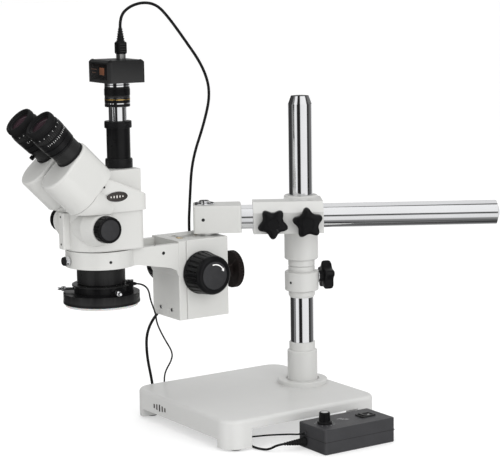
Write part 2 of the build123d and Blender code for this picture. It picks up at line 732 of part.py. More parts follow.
def make_upper_housing():
    """Upper shell: a sloping front that the prism housings sit on, and the photo tower behind."""
    half = BODY_HALF + BRIM_OUT
    back = BODY_BACK + BRIM_OUT
    over = TOWER_TOP + 1
    with BuildPart() as upper:
        with BuildSketch(level(HEAD_X, HEAD_Y, BRIM_Z)):
            body_outline(BRIM_OUT)
        extrude(amount=TOWER_TOP - BRIM_Z)
        fillet(upper.edges().filter_by(Axis.Z).sort_by(Axis.Y)[-2:], 10.0)
        # everything in front of the slope goes
        with BuildSketch(right_plane(HEAD_X, HEAD_Y, 0)):
            with BuildLine():
                Polyline(
                    (-90, BRIM_Z - 3),
                    (BRIM_Z - 3 - SLOPE_RISE, BRIM_Z - 3),
                    (over - SLOPE_RISE, over),
                    (-90, over),
                    close=True,
                )
            make_face()
        extrude(amount=half + 1, both=True, mode=Mode.SUBTRACT)
        # shoulders beside the tower, falling to the rear
        for side in (1, -1):
            with BuildSketch(right_plane(HEAD_X + side * TOWER_HALF, HEAD_Y, 0)):
                with BuildLine():
                    Polyline(
                        (-(over - RIDGE_Z) / RIDGE_FALL, over),
                        (back + 1, RIDGE_Z - (back + 1) * RIDGE_FALL),
                        (back + 1, over),
                        close=True,
                    )
                make_face()
            extrude(amount=side * half, mode=Mode.SUBTRACT)
        ridges = upper.edges().filter_by(lambda e: e.length > 30 and abs(e.center().X - HEAD_X) > half - 1)
        fillet(ridges.filter_by(lambda e: e.center().Z > RIDGE_Z - 20), 3.0)
        # round seats behind the two prism housings
        for side in (1, -1):
            with BuildSketch(eye_plane(side, -PRISM_LONG - GAP, -PIVOT_DROP)):
                Circle(SEAT_R)
            extrude(amount=-30)
        with BuildSketch(level(HEAD_X, HEAD_Y, BRIM_Z - 60)):
            Rectangle(200, 200)
        extrude(amount=60, mode=Mode.SUBTRACT)
        # hollow inside, and the light path up to the photo port
        with BuildSketch(level(HEAD_X, HEAD_Y + 12, BRIM_Z - 1)):
            Rectangle(2 * (half - 12), 44)
        extrude(amount=14, mode=Mode.SUBTRACT)
        with BuildSketch(level(HEAD_X, HEAD_Y + 22, BRIM_Z)):
            Rectangle(2 * TOWER_HALF - 12, 30)
        extrude(amount=TOWER_TOP - BRIM_Z - 8, mode=Mode.SUBTRACT)
        with BuildSketch(port_level(TOWER_TOP - 10)):
            Circle(11.5)
        extrude(amount=12, mode=Mode.SUBTRACT)
    keep(upper, "upper_housing")


TUBE_R, TUBE_BORE = 18.5, 15.0
EYE_LONG = 40.0  # from the prism housing's end to the diopter ring
RING_LONG = 10.0
NECK_R = 17.0
SIGHT_R = 11.0  # clear opening through the eyepieces


def make_eye(side, word):
    """Prism housing, tube, eyepiece, diopter ring and eyecup of one eye."""
    end = eye_plane(side, 0)
    with BuildPart() as prism:
        with BuildSketch(eye_plane(side, -PRISM_LONG)):
            Circle(22)
            with Locations((0, -PIVOT_DROP)):
                Circle(25)
            make_hull()
        extrude(amount=PRISM_LONG)
        fillet(prism.faces().sort_by(Axis(end.origin, end.z_dir))[-1].edges(), 3.0)
        with BuildSketch(eye_plane(side, -PRISM_LONG)):
            Circle(17)
            with Locations((0, -PIVOT_DROP)):
                Circle(20)
            make_hull()
        extrude(amount=PRISM_LONG - 9, mode=Mode.SUBTRACT)
        with BuildSketch(end):
            Circle(TUBE_R)
        extrude(amount=-12, mode=Mode.SUBTRACT)
    keep(prism, f"prism_housing_{word}")

    with BuildPart() as tube:
        with BuildSketch(end.offset(-8)):
            Circle(TUBE_R)
            Circle(TUBE_BORE, mode=Mode.SUBTRACT)
        extrude(amount=25)
        if side < 0:
            with BuildSketch(eye_screw_plane()):
                Circle(1.6)
            extrude(amount=-12, mode=Mode.SUBTRACT)
    keep(tube, f"eyepiece_tube_{word}")

    with BuildPart() as eyepiece:
        with BuildSketch(end.offset(2)):
            Circle(TUBE_BORE)
        extrude(amount=15)
        with BuildSketch(end.offset(17)):
            Circle(19.5)
        with BuildSketch(end.offset(EYE_LONG)):
            Circle(21)
        loft()
        with BuildSketch(end.offset(EYE_LONG)):
            Circle(NECK_R)
        extrude(amount=RING_LONG + 2)
        with BuildSketch(end):
            Circle(SIGHT_R)
        extrude(amount=EYE_LONG + RING_LONG + 3, mode=Mode.SUBTRACT)
    keep(eyepiece, f"eyepiece_{word}")

    with BuildPart() as ring:
        with BuildSketch(end.offset(EYE_LONG + GAP)):
            Circle(21)
            Circle(NECK_R + RUN, mode=Mode.SUBTRACT)
        extrude(amount=RING_LONG - 2 * GAP)
        chamfer(ring.edges().filter_by(lambda e: e.length > 125), 0.6)
    keep(ring, f"diopter_ring_{word}")

    with BuildPart() as cup:
        with BuildSketch(end.offset(EYE_LONG + RING_LONG)):
            Circle(20.5)
        with BuildSketch(end.offset(EYE_LONG + RING_LONG + 11)):
            Circle(19)
        loft()
        with BuildSketch(end.offset(EYE_LONG + RING_LONG)):
            Circle(NECK_R)
        extrude(amount=2, mode=Mode.SUBTRACT)
        with BuildSketch(end.offset(EYE_LONG + RING_LONG)):
            Circle(13)
        extrude(amount=12, mode=Mode.SUBTRACT)
        rim = end.offset(EYE_LONG + RING_LONG + 11)
        with BuildSketch(rim):
            Circle(16.5)
        extrude(amount=-5, mode=Mode.SUBTRACT, taper=30)
    keep(cup, f"eyecup_{word}")


def eye_screw_plane():
    """Under the left eyepiece tube, facing down and forward."""
    at = eye_plane(-1, 13.5, -TUBE_R)
    return Plane(origin=at.origin, x_dir=(1, 0, 0), z_dir=at.y_dir * -1)


def make_eye_screw():
    with BuildPart() as screw:
        with BuildSketch(eye_screw_plane()):
            Circle(1.5)
        extrude(amount=-3)
        with BuildSketch(eye_screw_plane()):
            Circle(1.5)
        extrude(amount=1.5)
        with BuildSketch(eye_screw_plane().offset(1.0)):
            Circle(3)
        extrude(amount=4.5)
    keep(screw, "eyepiece_lock_screw")


CAMERA_TURN = -4.0
CAMERA_LOW, CAMERA_TOP = 463.5, 492.0
CAMERA_W, CAMERA_D = 64.0, 51.0
PLUG_Y = 8.0  # the camera's socket sits this far behind the port's axis
USB_START_Z = 532.0


def stack(name, discs, bore=0.0):
    """Turned part on the port's axis: discs are (radius, from height, to height)."""
    with BuildPart() as turned:
        for radius, low, high in discs:
            with BuildSketch(port_level(low)):
                Circle(radius)
            extrude(amount=high - low)
        if bore:
            with BuildSketch(port_level(discs[0][1] - 1)):
                Circle(bore)
            extrude(amount=discs[-1][2] - discs[0][1] + 2, mode=Mode.SUBTRACT)
    keep(turned, name)


def make_port():
    stack("port_tube", [(17.2, TOWER_TOP, 366), (15.2, 366, 405.5), (17.3, 405.5, 414)], 11.6 + RUN)
    stack("photo_tube", [(11.6, 400, 432.5), (16.1, 432.5, 444)], 9.0)
    stack("camera_adapter", [(16.1, 444, 457.5), (16.0, 457.5, CAMERA_LOW)], 9.0)

    turned = Location((PORT_AXIS.X, PORT_AXIS.Y, CAMERA_LOW), (0, 0, CAMERA_TURN))
    with BuildPart() as camera:
        with BuildSketch(Plane(turned)):
            RectangleRounded(CAMERA_W, CAMERA_D, 5)
        extrude(amount=CAMERA_TOP - CAMERA_LOW)
        chamfer(camera.faces().sort_by(Axis.Z)[-1].edges(), 2.5)
        with BuildSketch(Plane(turned)):
            Circle(8)
        extrude(amount=12, mode=Mode.SUBTRACT)
        with BuildSketch(level(PORT_AXIS.X - 2, PORT_AXIS.Y + PLUG_Y, CAMERA_TOP - 5)):
            Rectangle(11, 9)
        extrude(amount=6, mode=Mode.SUBTRACT)
    keep(camera, "camera_body")

    with BuildPart() as plug:
        with BuildSketch(plug_level(CAMERA_TOP - 5)):
            Rectangle(11, 9)
        extrude(amount=11.5)
        with BuildSketch(plug_level(CAMERA_TOP + 6.5)):
            RectangleRounded(14, 12, 3)
        extrude(amount=16)
        with BuildSketch(plug_level(CAMERA_TOP + 22.5)):
            Circle(5.5)
        with BuildSketch(plug_level(USB_START_Z)):
            Circle(2.6)
        loft()
    keep(plug, "usb_plug")


def plug_level(z):
    return level(PORT_AXIS.X - 2, PORT_AXIS.Y + PLUG_Y, z)


def make_objective():
    with BuildPart() as housing:
        with BuildSketch(level(HEAD_X, HEAD_Y, 209.3)):
            Circle(OBJECTIVE_R)
        extrude(amount=RING_LOW - 209.3)
        with BuildSketch(level(HEAD_X, HEAD_Y, 203)):
            Circle(OBJECTIVE_R - 1.5)
        extrude(amount=7)
        with BuildSketch(level(HEAD_X, HEAD_Y, 201)):
            Circle(24)
        extrude(amount=40, mode=Mode.SUBTRACT)
    keep(housing, "objective_housing")

    with BuildPart() as lens:
        with BuildSketch(level(HEAD_X, HEAD_Y, 207)):
            Circle(24)
        extrude(amount=6)
    keep(lens, "objective_lens")


GLAND_TURN = math.radians(56.5)
gland_dir = Vector(math.cos(GLAND_TURN), math.sin(GLAND_TURN), 0)
LIGHT_SCREW_ANGLES = (-123.0, -3.0, 117.0)


def make_ring_light():
    bore = OBJECTIVE_R - 1.2
    with BuildPart() as light:
        for radius, low, high in (
            (RINGLIGHT_R, RINGLIGHT_LOW, RINGLIGHT_TOP),
            (35, RINGLIGHT_TOP, 205.5),
            (37.5, 205.5, 207.5),
        ):
            with BuildSketch(level(HEAD_X, HEAD_Y, low)):
                Circle(radius)
            extrude(amount=high - low)
        # block for the lead's gland
        gland = Vector(HEAD_X, HEAD_Y, RINGLIGHT_TOP - 1) + gland_dir * 36.5
        with BuildSketch(Plane(origin=gland, x_dir=gland_dir, z_dir=(0, 0, 1))):
            RectangleRounded(9, 12, 1.5)
        extrude(amount=15)
        with BuildSketch(level(HEAD_X, HEAD_Y, RINGLIGHT_LOW - 1)):
            Circle(bore)
        extrude(amount=30, mode=Mode.SUBTRACT)
        with BuildSketch(level(HEAD_X, HEAD_Y, RINGLIGHT_LOW)):
            Circle(46.5)
        extrude(amount=9, mode=Mode.SUBTRACT)
        for angle in LIGHT_SCREW_ANGLES:
            with BuildSketch(light_screw_plane(angle, bore - 1)):
                Circle(2)
            extrude(amount=8, mode=Mode.SUBTRACT)
    keep(light, "ring_light_housing")

    with BuildPart() as diffuser:
        with BuildSketch(level(HEAD_X, HEAD_Y, RINGLIGHT_LOW - 3.7)):
            Circle(46.5)
            Circle(32, mode=Mode.SUBTRACT)
        extrude(amount=12)
    keep(diffuser, "ring_light_diffuser")

    with BuildPart() as screws:
        for angle in LIGHT_SCREW_ANGLES:
            with BuildSketch(light_screw_plane(angle, bore)):
                Circle(2)
            extrude(amount=18)
            with BuildSketch(light_screw_plane(angle, 46)):
                Circle(3.4)
            extrude(amount=10)
    keep(screws, "ring_light_screws")


def light_screw_plane(angle, out):
    aim = Vector(math.cos(math.radians(angle)), math.sin(math.radians(angle)), 0)
    return Plane(origin=Vector(HEAD_X, HEAD_Y, 201.0) + aim * out, z_dir=aim)


# ================= dimmer box =================
SEAM = 16.0
DIAL_Y, SWITCH_Y = -35.0, 29.7  # along the box, from its middle
DIAL_R = 9.5
LEAD_X, LEAD_Z = BOX_X - 12.6, 20.0
BOOT_X, BOOT_Z = BOX_X - 14.6, 9.0
BOX_FRONT = BOX_Y - BOX_L / 2
BOOT_END = Vector(BOX_X - 19.6, BOX_FRONT - 28.5, BOOT_Z)
boot_root = Vector(BOOT_X, BOX_FRONT - 1, BOOT_Z)
boot_aim = (BOOT_END - boot_root).normalized()


def make_box():
    wall = 2.2
    with BuildPart() as lower:
        with BuildSketch(level(BOX_X, BOX_Y, 0)):
            RectangleRounded(BOX_W, BOX_L, 3)
        extrude(amount=SEAM)
        chamfer(lower.faces().sort_by(Axis.Z)[0].edges(), 0.8)
        with BuildSketch(level(BOX_X, BOX_Y, wall)):
            RectangleRounded(BOX_W - 2 * wall, BOX_L - 2 * wall, 1.5)
        extrude(amount=SEAM, mode=Mode.SUBTRACT)
    keep(lower, "control_box_base")

    with BuildPart() as lid:
        with BuildSketch(level(BOX_X, BOX_Y, SEAM)):
            RectangleRounded(BOX_W, BOX_L, 3)
        extrude(amount=BOX_H - SEAM)
        chamfer(lid.faces().sort_by(Axis.Z)[-1].edges(), 0.8)
        with BuildSketch(level(BOX_X, BOX_Y, SEAM)):
            RectangleRounded(BOX_W - 2 * wall, BOX_L - 2 * wall, 1.5)
        extrude(amount=BOX_H - SEAM - wall, mode=Mode.SUBTRACT)
        # bezel and window of the rocker switch
        with BuildSketch(level(BOX_X, BOX_Y + SWITCH_Y, BOX_H - wall)):
            Rectangle(15, 21)
        extrude(amount=wall + 1.2)
        with BuildSketch(level(BOX_X, BOX_Y + SWITCH_Y, BOX_H - wall - 1)):
            Rectangle(11.4, 17.4)
        extrude(amount=wall + 3, mode=Mode.SUBTRACT)
        with BuildSketch(level(BOX_X, BOX_Y + DIAL_Y, BOX_H - wall - 1)):
            Circle(3 + RUN)
        extrude(amount=wall + 3, mode=Mode.SUBTRACT)
        # gland of the ring light's lead
        with BuildSketch(front_plane(LEAD_X, BOX_FRONT + 1, LEAD_Z)):
            Circle(2.6)
        extrude(amount=4)
    keep(lid, "control_box_lid")

    with BuildPart() as dial:
        with BuildSketch(level(BOX_X, BOX_Y + DIAL_Y, BOX_H + GAP)):
            Circle(DIAL_R)
        extrude(amount=3)
        with BuildSketch(level(BOX_X, BOX_Y + DIAL_Y, BOX_H + GAP + 3)):
            Circle(7.5)
        extrude(amount=12, taper=3)
        with BuildSketch(level(BOX_X, BOX_Y + DIAL_Y, BOX_H - 9)):
            Circle(3)
        extrude(amount=10)
    keep(dial, "dimmer_knob")

    with BuildPart() as rocker:
        with BuildSketch(right_plane(BOX_X, BOX_Y + SWITCH_Y, BOX_H)):
            with BuildLine():
                Polyline((-8.1, -1.5), (-8.1, 3.6), (0, 1.6), (8.1, 1.2), (7.6, -3), (-6, -3), close=True)
            make_face()
        extrude(amount=5.4, both=True)
    keep(rocker, "rocker_switch")

    with BuildPart() as boot:
        with BuildSketch(front_plane(BOOT_X, BOX_FRONT, BOOT_Z)):
            Circle(6)
        extrude(amount=3)
        with BuildSketch(Plane(origin=boot_root, z_dir=boot_aim)):
            Circle(4.6)
        with BuildSketch(Plane(origin=BOOT_END, z_dir=boot_aim)):
            Circle(2.2)
        loft()
    keep(boot, "cable_boot")


# ================= cords =================
COIL_FLOOR = 0.1
USB_COIL_X, USB_COIL_Y = -162.0, -20.0
USB_COIL_IN, USB_COIL_OUT, USB_COIL_H = 9.9, 31.0, 8.2
POWER_COIL_X, POWER_COIL_Y = -158.0, 62.0
POWER_COIL_IN, POWER_COIL_OUT, POWER_COIL_H = 8.6, 24.4, 6.7
USB_TURN = 28.0  # radius at which the cord joins its coil
USB_EXIT = 29.0  # and at which it leaves it
POWER_TURN = POWER_COIL_OUT - POWER_R - 0.1
FLOOR_USB, FLOOR_LED, FLOOR_POWER = USB_R + 0.1, LED_R + 0.1, POWER_R + 0.1

usb_start = Vector(PORT_AXIS.X - 2, PORT_AXIS.Y + PLUG_Y, USB_START_Z)
gland_end = Vector(HEAD_X, HEAD_Y, 206) + gland_dir * 41

usb_route = [
    tuple(usb_start),
    tuple(usb_start + Vector(0, 0, 13)),
    (-35, -161, 557),
    (-42, -136, 563),
    (-47, -112, 559.5),
    (-51, -93, 544),
    (-56, -66, 514),
    (-61, -34, 476),
    (-62, -22, 441),
    (-68, -29, 400),
    (-74, -46, 350),
    (-78, -48, 300),
    (-80, -50, 254),
    (-81, -44, 206),
    (-84, -58, 171),
    (-89, -92, 150),
    (-96, -110, 122),
    (-112, -102, 84),
    (-125, -86, 38),
    (-134, -79, 13),
    (-140, -66, FLOOR_USB),
    (-149, -53, FLOOR_USB),
    (-163, USB_COIL_Y - USB_TURN, FLOOR_USB),
]
led_route = [
    tuple(gland_end),
    tuple(gland_end + gland_dir * 8),
    (-6, -161.5, 201),
    (-15, -151.5, 192),
    (-27, -143, 179),
    (-38, -133, 166),
    (-49, -122.5, 153),
    (-63, -113, 136),
    (-78, -93, 110),
    (-91, -73, 87),
    (-101, -68.5, 73),
    (-116, -71, 54),
    (-126, -67, 36),
    (-133, -61, 13),
    (-127, -55, FLOOR_LED),
    (-105, -47, FLOOR_LED),
    (-60, -43, FLOOR_LED),
    (-8, -50, FLOOR_LED),
    (40, -65, FLOOR_LED),
    (72, -71, 3),
    (98, -68, 9),
    (119, -61, 14.5),
    (138, -55, 18.5),
    (151, -46, 20.5),
    (LEAD_X, -37.5, LEAD_Z),
    (LEAD_X, BOX_FRONT - 3, LEAD_Z),
]
power_route = [
    tuple(BOOT_END),
    tuple(BOOT_END + boot_aim * 10),
    (139, -72, FLOOR_POWER),
    (126, -79, FLOOR_POWER),
    (110, -79.5, FLOOR_POWER),
    (92, -71, FLOOR_POWER),
    (74, -55, FLOOR_POWER),
    (44, -39, FLOOR_POWER),
    (0, -23, FLOOR_POWER),
    (-50, -11, FLOOR_POWER),
    (-94, -6, FLOOR_POWER),
    (-120, 5, FLOOR_POWER),
    (-132, 22, FLOOR_POWER),
    (POWER_COIL_X + POWER_TURN, 40, FLOOR_POWER),
    (POWER_COIL_X + POWER_TURN, 56, FLOOR_POWER),
]


def make_cord(name, route, radius):
    """Round cord: straight runs joined by arcs as wide as their two runs allow."""
    points = [Vector(*p) for p in route]
    radii = []
    with BuildPart() as cord:
        with BuildLine() as path:
            last = points[0]
            for before, corner, after in zip(points, points[1:], points[2:]):
                coming = (corner - before).normalized()
                going = (after - corner).normalized()
                half = math.acos(max(-1, min(1, coming.dot(going)))) / 2
                cut = 0.45 * min((corner - before).length, (after - corner).length)
                radii.append(cut / math.tan(half))
                start, stop = corner - coming * cut, corner + going * cut
                bisector = (going - coming).normalized()
                middle = corner + bisector * (cut / math.sin(half) * (1 - math.cos(half)))
                Line(last, start)
                ThreePointArc(start, middle, stop)
                last = stop
            Line(last, points[-1])
        begin = Plane(origin=points[0], z_dir=(points[1] - points[0]).normalized())
        with BuildSketch(begin):
            Circle(radius)
        sweep(path=path.wires()[0])
    length = path.wires()[0].length
    print(name, "length", round(length, 1), "volume ratio",
          round(cord.part.volume / (math.pi * radius**2 * length), 4),
          "least radius", round(min(radii), 1), "lowest", round(cord.part.bounding_box().min.Z, 2))
    keep(cord, name)


def make_coil(name, x, y, inner, outer, height):
    with BuildPart() as coil:
        with BuildSketch(level(x, y, COIL_FLOOR)):
            Circle(outer)
            Circle(inner, mode=Mode.SUBTRACT)
        extrude(amount=height)
        fillet(coil.edges().filter_by(GeomType.CIRCLE).sort_by(Axis.Z)[-2:], 2.0)
    keep(coil, name)


def make_plug_and_adapter():
    x, y, nose_z = USB_COIL_X - USB_EXIT, -2.0, 5.0
    with BuildPart() as plug:
        with BuildSketch(rear_plane(x, y, nose_z)):
            Circle(2.4)
        with BuildSketch(rear_plane(x, y + 12, nose_z)):
            Circle(3.6)
        loft()
        with BuildSketch(level(x, y + 25, 0.2)):
            RectangleRounded(15, 28, 2)
        extrude(amount=8.8)
        with BuildSketch(level(x, y + 45, 2.3)):
            Rectangle(12, 14)
        extrude(amount=4.6)
    keep(plug, "usb_a_plug")

    x, y = POWER_COIL_X + POWER_TURN, 76.0
    with BuildPart() as adapter:
        with BuildSketch(rear_plane(x, y, nose_z)):
            Circle(2.0)
        with BuildSketch(rear_plane(x, y + 16, nose_z)):
            Circle(4.2)
        loft()
        with BuildSketch(level(x - 4, y + 38, 0.2)):
            RectangleRounded(30, 46, 3)
        extrude(amount=26)
        # the two flat blades
        for dx in (-6.35, 6.35):
            with BuildSketch(rear_plane(x - 4 + dx, y + 60, 13)):
                Rectangle(1.6, 6.4)
            extrude(amount=17)
    keep(adapter, "power_adapter")


make_base()
make_post()
make_collar()
make_clamp()
make_boom()
make_swivel()
make_focus()
make_lock_knob()
make_holder()
make_holder_screw()
make_zoom_body()
make_zoom_knobs()
make_upper_housing()
for side, word in ((1, "right"), (-1, "left")):
    make_eye(side, word)
make_eye_screw()
make_port()
make_objective()
make_ring_light()
make_box()
make_cord("usb_cable", usb_route, USB_R)
make_cord("led_cable", led_route, LED_R)
make_cord("power_cable", power_route, POWER_R)
make_coil("usb_cable_coil", USB_COIL_X, USB_COIL_Y, USB_COIL_IN, USB_COIL_OUT, USB_COIL_H)
make_coil("power_cable_coil", POWER_COIL_X, POWER_COIL_Y, POWER_COIL_IN, POWER_COIL_OUT, POWER_COIL_H)
make_plug_and_adapter()
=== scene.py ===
import json
import math

import bmesh
import bpy
from mathutils import Matrix, Vector


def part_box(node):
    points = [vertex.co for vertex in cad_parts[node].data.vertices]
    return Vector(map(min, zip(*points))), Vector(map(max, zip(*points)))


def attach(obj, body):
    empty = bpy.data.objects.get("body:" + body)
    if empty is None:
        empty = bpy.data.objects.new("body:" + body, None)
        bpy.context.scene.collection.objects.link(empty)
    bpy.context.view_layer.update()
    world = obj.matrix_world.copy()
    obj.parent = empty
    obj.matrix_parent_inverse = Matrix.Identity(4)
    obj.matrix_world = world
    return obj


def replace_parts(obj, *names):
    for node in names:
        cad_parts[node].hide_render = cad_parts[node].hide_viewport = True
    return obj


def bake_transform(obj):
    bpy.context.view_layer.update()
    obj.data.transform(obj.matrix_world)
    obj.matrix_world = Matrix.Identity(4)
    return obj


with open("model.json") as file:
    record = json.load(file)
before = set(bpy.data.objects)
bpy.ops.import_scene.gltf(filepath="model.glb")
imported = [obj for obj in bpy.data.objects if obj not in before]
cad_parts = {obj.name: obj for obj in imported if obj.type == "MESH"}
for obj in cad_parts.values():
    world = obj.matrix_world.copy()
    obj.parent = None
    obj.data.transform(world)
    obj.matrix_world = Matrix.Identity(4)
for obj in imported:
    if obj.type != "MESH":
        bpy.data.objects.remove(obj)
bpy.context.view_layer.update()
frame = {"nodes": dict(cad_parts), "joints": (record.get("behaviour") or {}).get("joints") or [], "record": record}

MM = 0.001
JOINTS = {j["name"]: j for j in frame["joints"]}
BODY_OF = {n: b for b, names in frame["record"]["behaviour"]["bodies"].items() for n in names}
SLOT_OF = {s["node"]: s["material_slot"] for s in frame["record"]["subparts"]}
UP = Vector((0, 0, 1))


# ---------------- camera, light and floor ----------------
CAMERA_TURN = (56.54, 8.66, -0.86)  # degrees: round the upright, downwards, about the line of sight
CAMERA_AT = (1.8651, -1.2357, 0.6014)
CAMERA_LENS, CAMERA_SENSOR = 122.4, 36.0  # mm


def make_camera():
    azimuth, pitch, roll = (math.radians(a) for a in CAMERA_TURN)
    right = Vector((math.cos(azimuth), math.sin(azimuth), 0))
    ahead = Vector((-math.sin(azimuth) * math.cos(pitch), math.cos(azimuth) * math.cos(pitch),
                    -math.sin(pitch)))
    above = right.cross(ahead)
    side = right * math.cos(roll) + above * math.sin(roll)
    top = above * math.cos(roll) - right * math.sin(roll)
    turn = Matrix((side, top, -ahead)).transposed().to_4x4()
    data = bpy.data.cameras.new("camera")
    data.sensor_width = CAMERA_SENSOR
    data.lens = CAMERA_LENS
    camera = bpy.data.objects.new("camera", data)
    camera.matrix_world = Matrix.Translation(CAMERA_AT) @ turn
    bpy.context.scene.collection.objects.link(camera)
    bpy.context.scene.camera = camera


def area_light(name, at, aim, size, power):
    """Soft box that lights the object but isn't mirrored in it."""
    data = bpy.data.lights.new(name, "AREA")
    data.shape = "RECTANGLE"
    data.size, data.size_y = size
    data.energy = power
    light = bpy.data.objects.new(name, data)
    light.location = at
    light.rotation_euler = (Vector(aim) - Vector(at)).to_track_quat("-Z", "Y").to_euler()
    light.visible_glossy = False
    bpy.context.scene.collection.objects.link(light)


def grey_ramp(tree, source, low, high, stops):
    """Grey level along a number from low to high; stops are (number, grey)."""
    spread = tree.nodes.new("ShaderNodeMapRange")
    spread.inputs["From Min"].default_value = low
    spread.inputs["From Max"].default_value = high
    tree.links.new(source, spread.inputs["Value"])
    ramp = tree.nodes.new("ShaderNodeValToRGB")
    elements = ramp.color_ramp.elements
    while len(elements) < len(stops):
        elements.new(0.5)
    for element, (number, grey) in zip(elements, stops):
        element.position = (number - low) / (high - low)
        element.color = (grey, grey, grey, 1)
    tree.links.new(spread.outputs["Result"], ramp.inputs["Fac"])
    return ramp.outputs["Color"]


# What bright metal mirrors: white screens with dark gaps between them, all the way round the studio.
ROUND = ((-180, 0.05), (-126, 0.04), (-114, 0.30), (-102, 0.12), (-94, 0.95), (-68, 0.95), (-62, 0.02),
         (-35, 0.02), (-29, 0.95), (27, 1.0), (36, 0.04), (56, 0.05), (68, 0.17), (98, 0.17), (104, 0.8),
         (170, 0.8), (180, 0.05))
RISE = ((-90, 0.30), (-80, 0.28), (-75, 0.08), (-66, 0.14), (-58, 0.24), (-46, 0.27), (-38, 0.85),
        (-1, 0.95), (4, 0.06), (8, 0.06), (13, 0.98), (90, 1.0))


def make_world():
    """Even white light all round; only mirrored light sees the screens and the gaps."""
    world = bpy.data.worlds.new("studio")
    world.use_nodes = True
    tree = world.node_tree
    even = tree.nodes["Background"]
    even.inputs["Color"].default_value = (1, 1, 1, 1)
    even.inputs["Strength"].default_value = 1.0
    split = tree.nodes.new("ShaderNodeSeparateXYZ")
    tree.links.new(tree.nodes.new("ShaderNodeTexCoord").outputs["Generated"], split.inputs["Vector"])

    def angle(operation, *sources):
        found = tree.nodes.new("ShaderNodeMath")
        found.operation = operation
        for source, slot in zip(sources, found.inputs):
            tree.links.new(source, slot)
        degrees = tree.nodes.new("ShaderNodeMath")
        degrees.operation = "DEGREES"
        tree.links.new(found.outputs["Value"], degrees.inputs[0])
        return degrees.outputs["Value"]

    around = grey_ramp(tree, angle("ARCTAN2", split.outputs["Y"], split.outputs["X"]), -180, 180, ROUND)
    rising = grey_ramp(tree, angle("ARCSINE", split.outputs["Z"]), -90, 90, RISE)
    product = tree.nodes.new("ShaderNodeMix")
    product.data_type = "RGBA"
    product.blend_type = "MULTIPLY"
    product.inputs["Factor"].default_value = 1.0
    tree.links.new(around, product.inputs["A"])
    tree.links.new(rising, product.inputs["B"])
    screens = tree.nodes.new("ShaderNodeBackground")
    tree.links.new(product.outputs["Result"], screens.inputs["Color"])
    backdrop = tree.nodes.new("ShaderNodeBackground")
    backdrop.inputs["Color"].default_value = (1, 1, 1, 1)
    light_path = tree.nodes.new("ShaderNodeLightPath")
    mirrored = tree.nodes.new("ShaderNodeMixShader")
    tree.links.new(light_path.outputs["Is Glossy Ray"], mirrored.inputs["Fac"])
    tree.links.new(even.outputs["Background"], mirrored.inputs[1])
    tree.links.new(screens.outputs["Background"], mirrored.inputs[2])
    seen = tree.nodes.new("ShaderNodeMixShader")
    tree.links.new(light_path.outputs["Is Camera Ray"], seen.inputs["Fac"])
    tree.links.new(mirrored.outputs["Shader"], seen.inputs[1])
    tree.links.new(backdrop.outputs["Background"], seen.inputs[2])
    tree.links.new(seen.outputs["Shader"], tree.nodes["World Output"].inputs["Surface"])
    bpy.context.scene.world = world


def make_studio():
    bpy.context.scene.view_settings.view_transform = "Standard"
    make_world()
    middle = (0, 0, 0.25)
    area_light("front_light", (0.2, -2.4, 1.2), middle, (1.6, 1.6), 2)
    area_light("side_light", (2.4, -0.3, 1.0), middle, (1.6, 1.8), 25)
    area_light("above_light", (0.1, 0.1, 2.6), middle, (2.4, 2.4), 13)

    bpy.ops.mesh.primitive_plane_add(size=60, location=(0, 0, -0.0004))
    floor = bpy.context.object
    floor.name = "studio_floor"
    floor.data.materials.append(plain_floor())
    floor.visible_glossy = False


def plain_floor():
    """Pale table that is lit from below as well, so that shadows on it stay light."""
    material = bpy.data.materials.new("floor")
    material.use_nodes = True
    shader = material.node_tree.nodes["Principled BSDF"]
    shader.inputs["Base Color"].default_value = (0.60, 0.60, 0.60, 1)
    shader.inputs["Roughness"].default_value = 0.75
    shader.inputs["Emission Color"].default_value = (1, 1, 1, 1)
    shader.inputs["Emission Strength"].default_value = 0.42
    return material


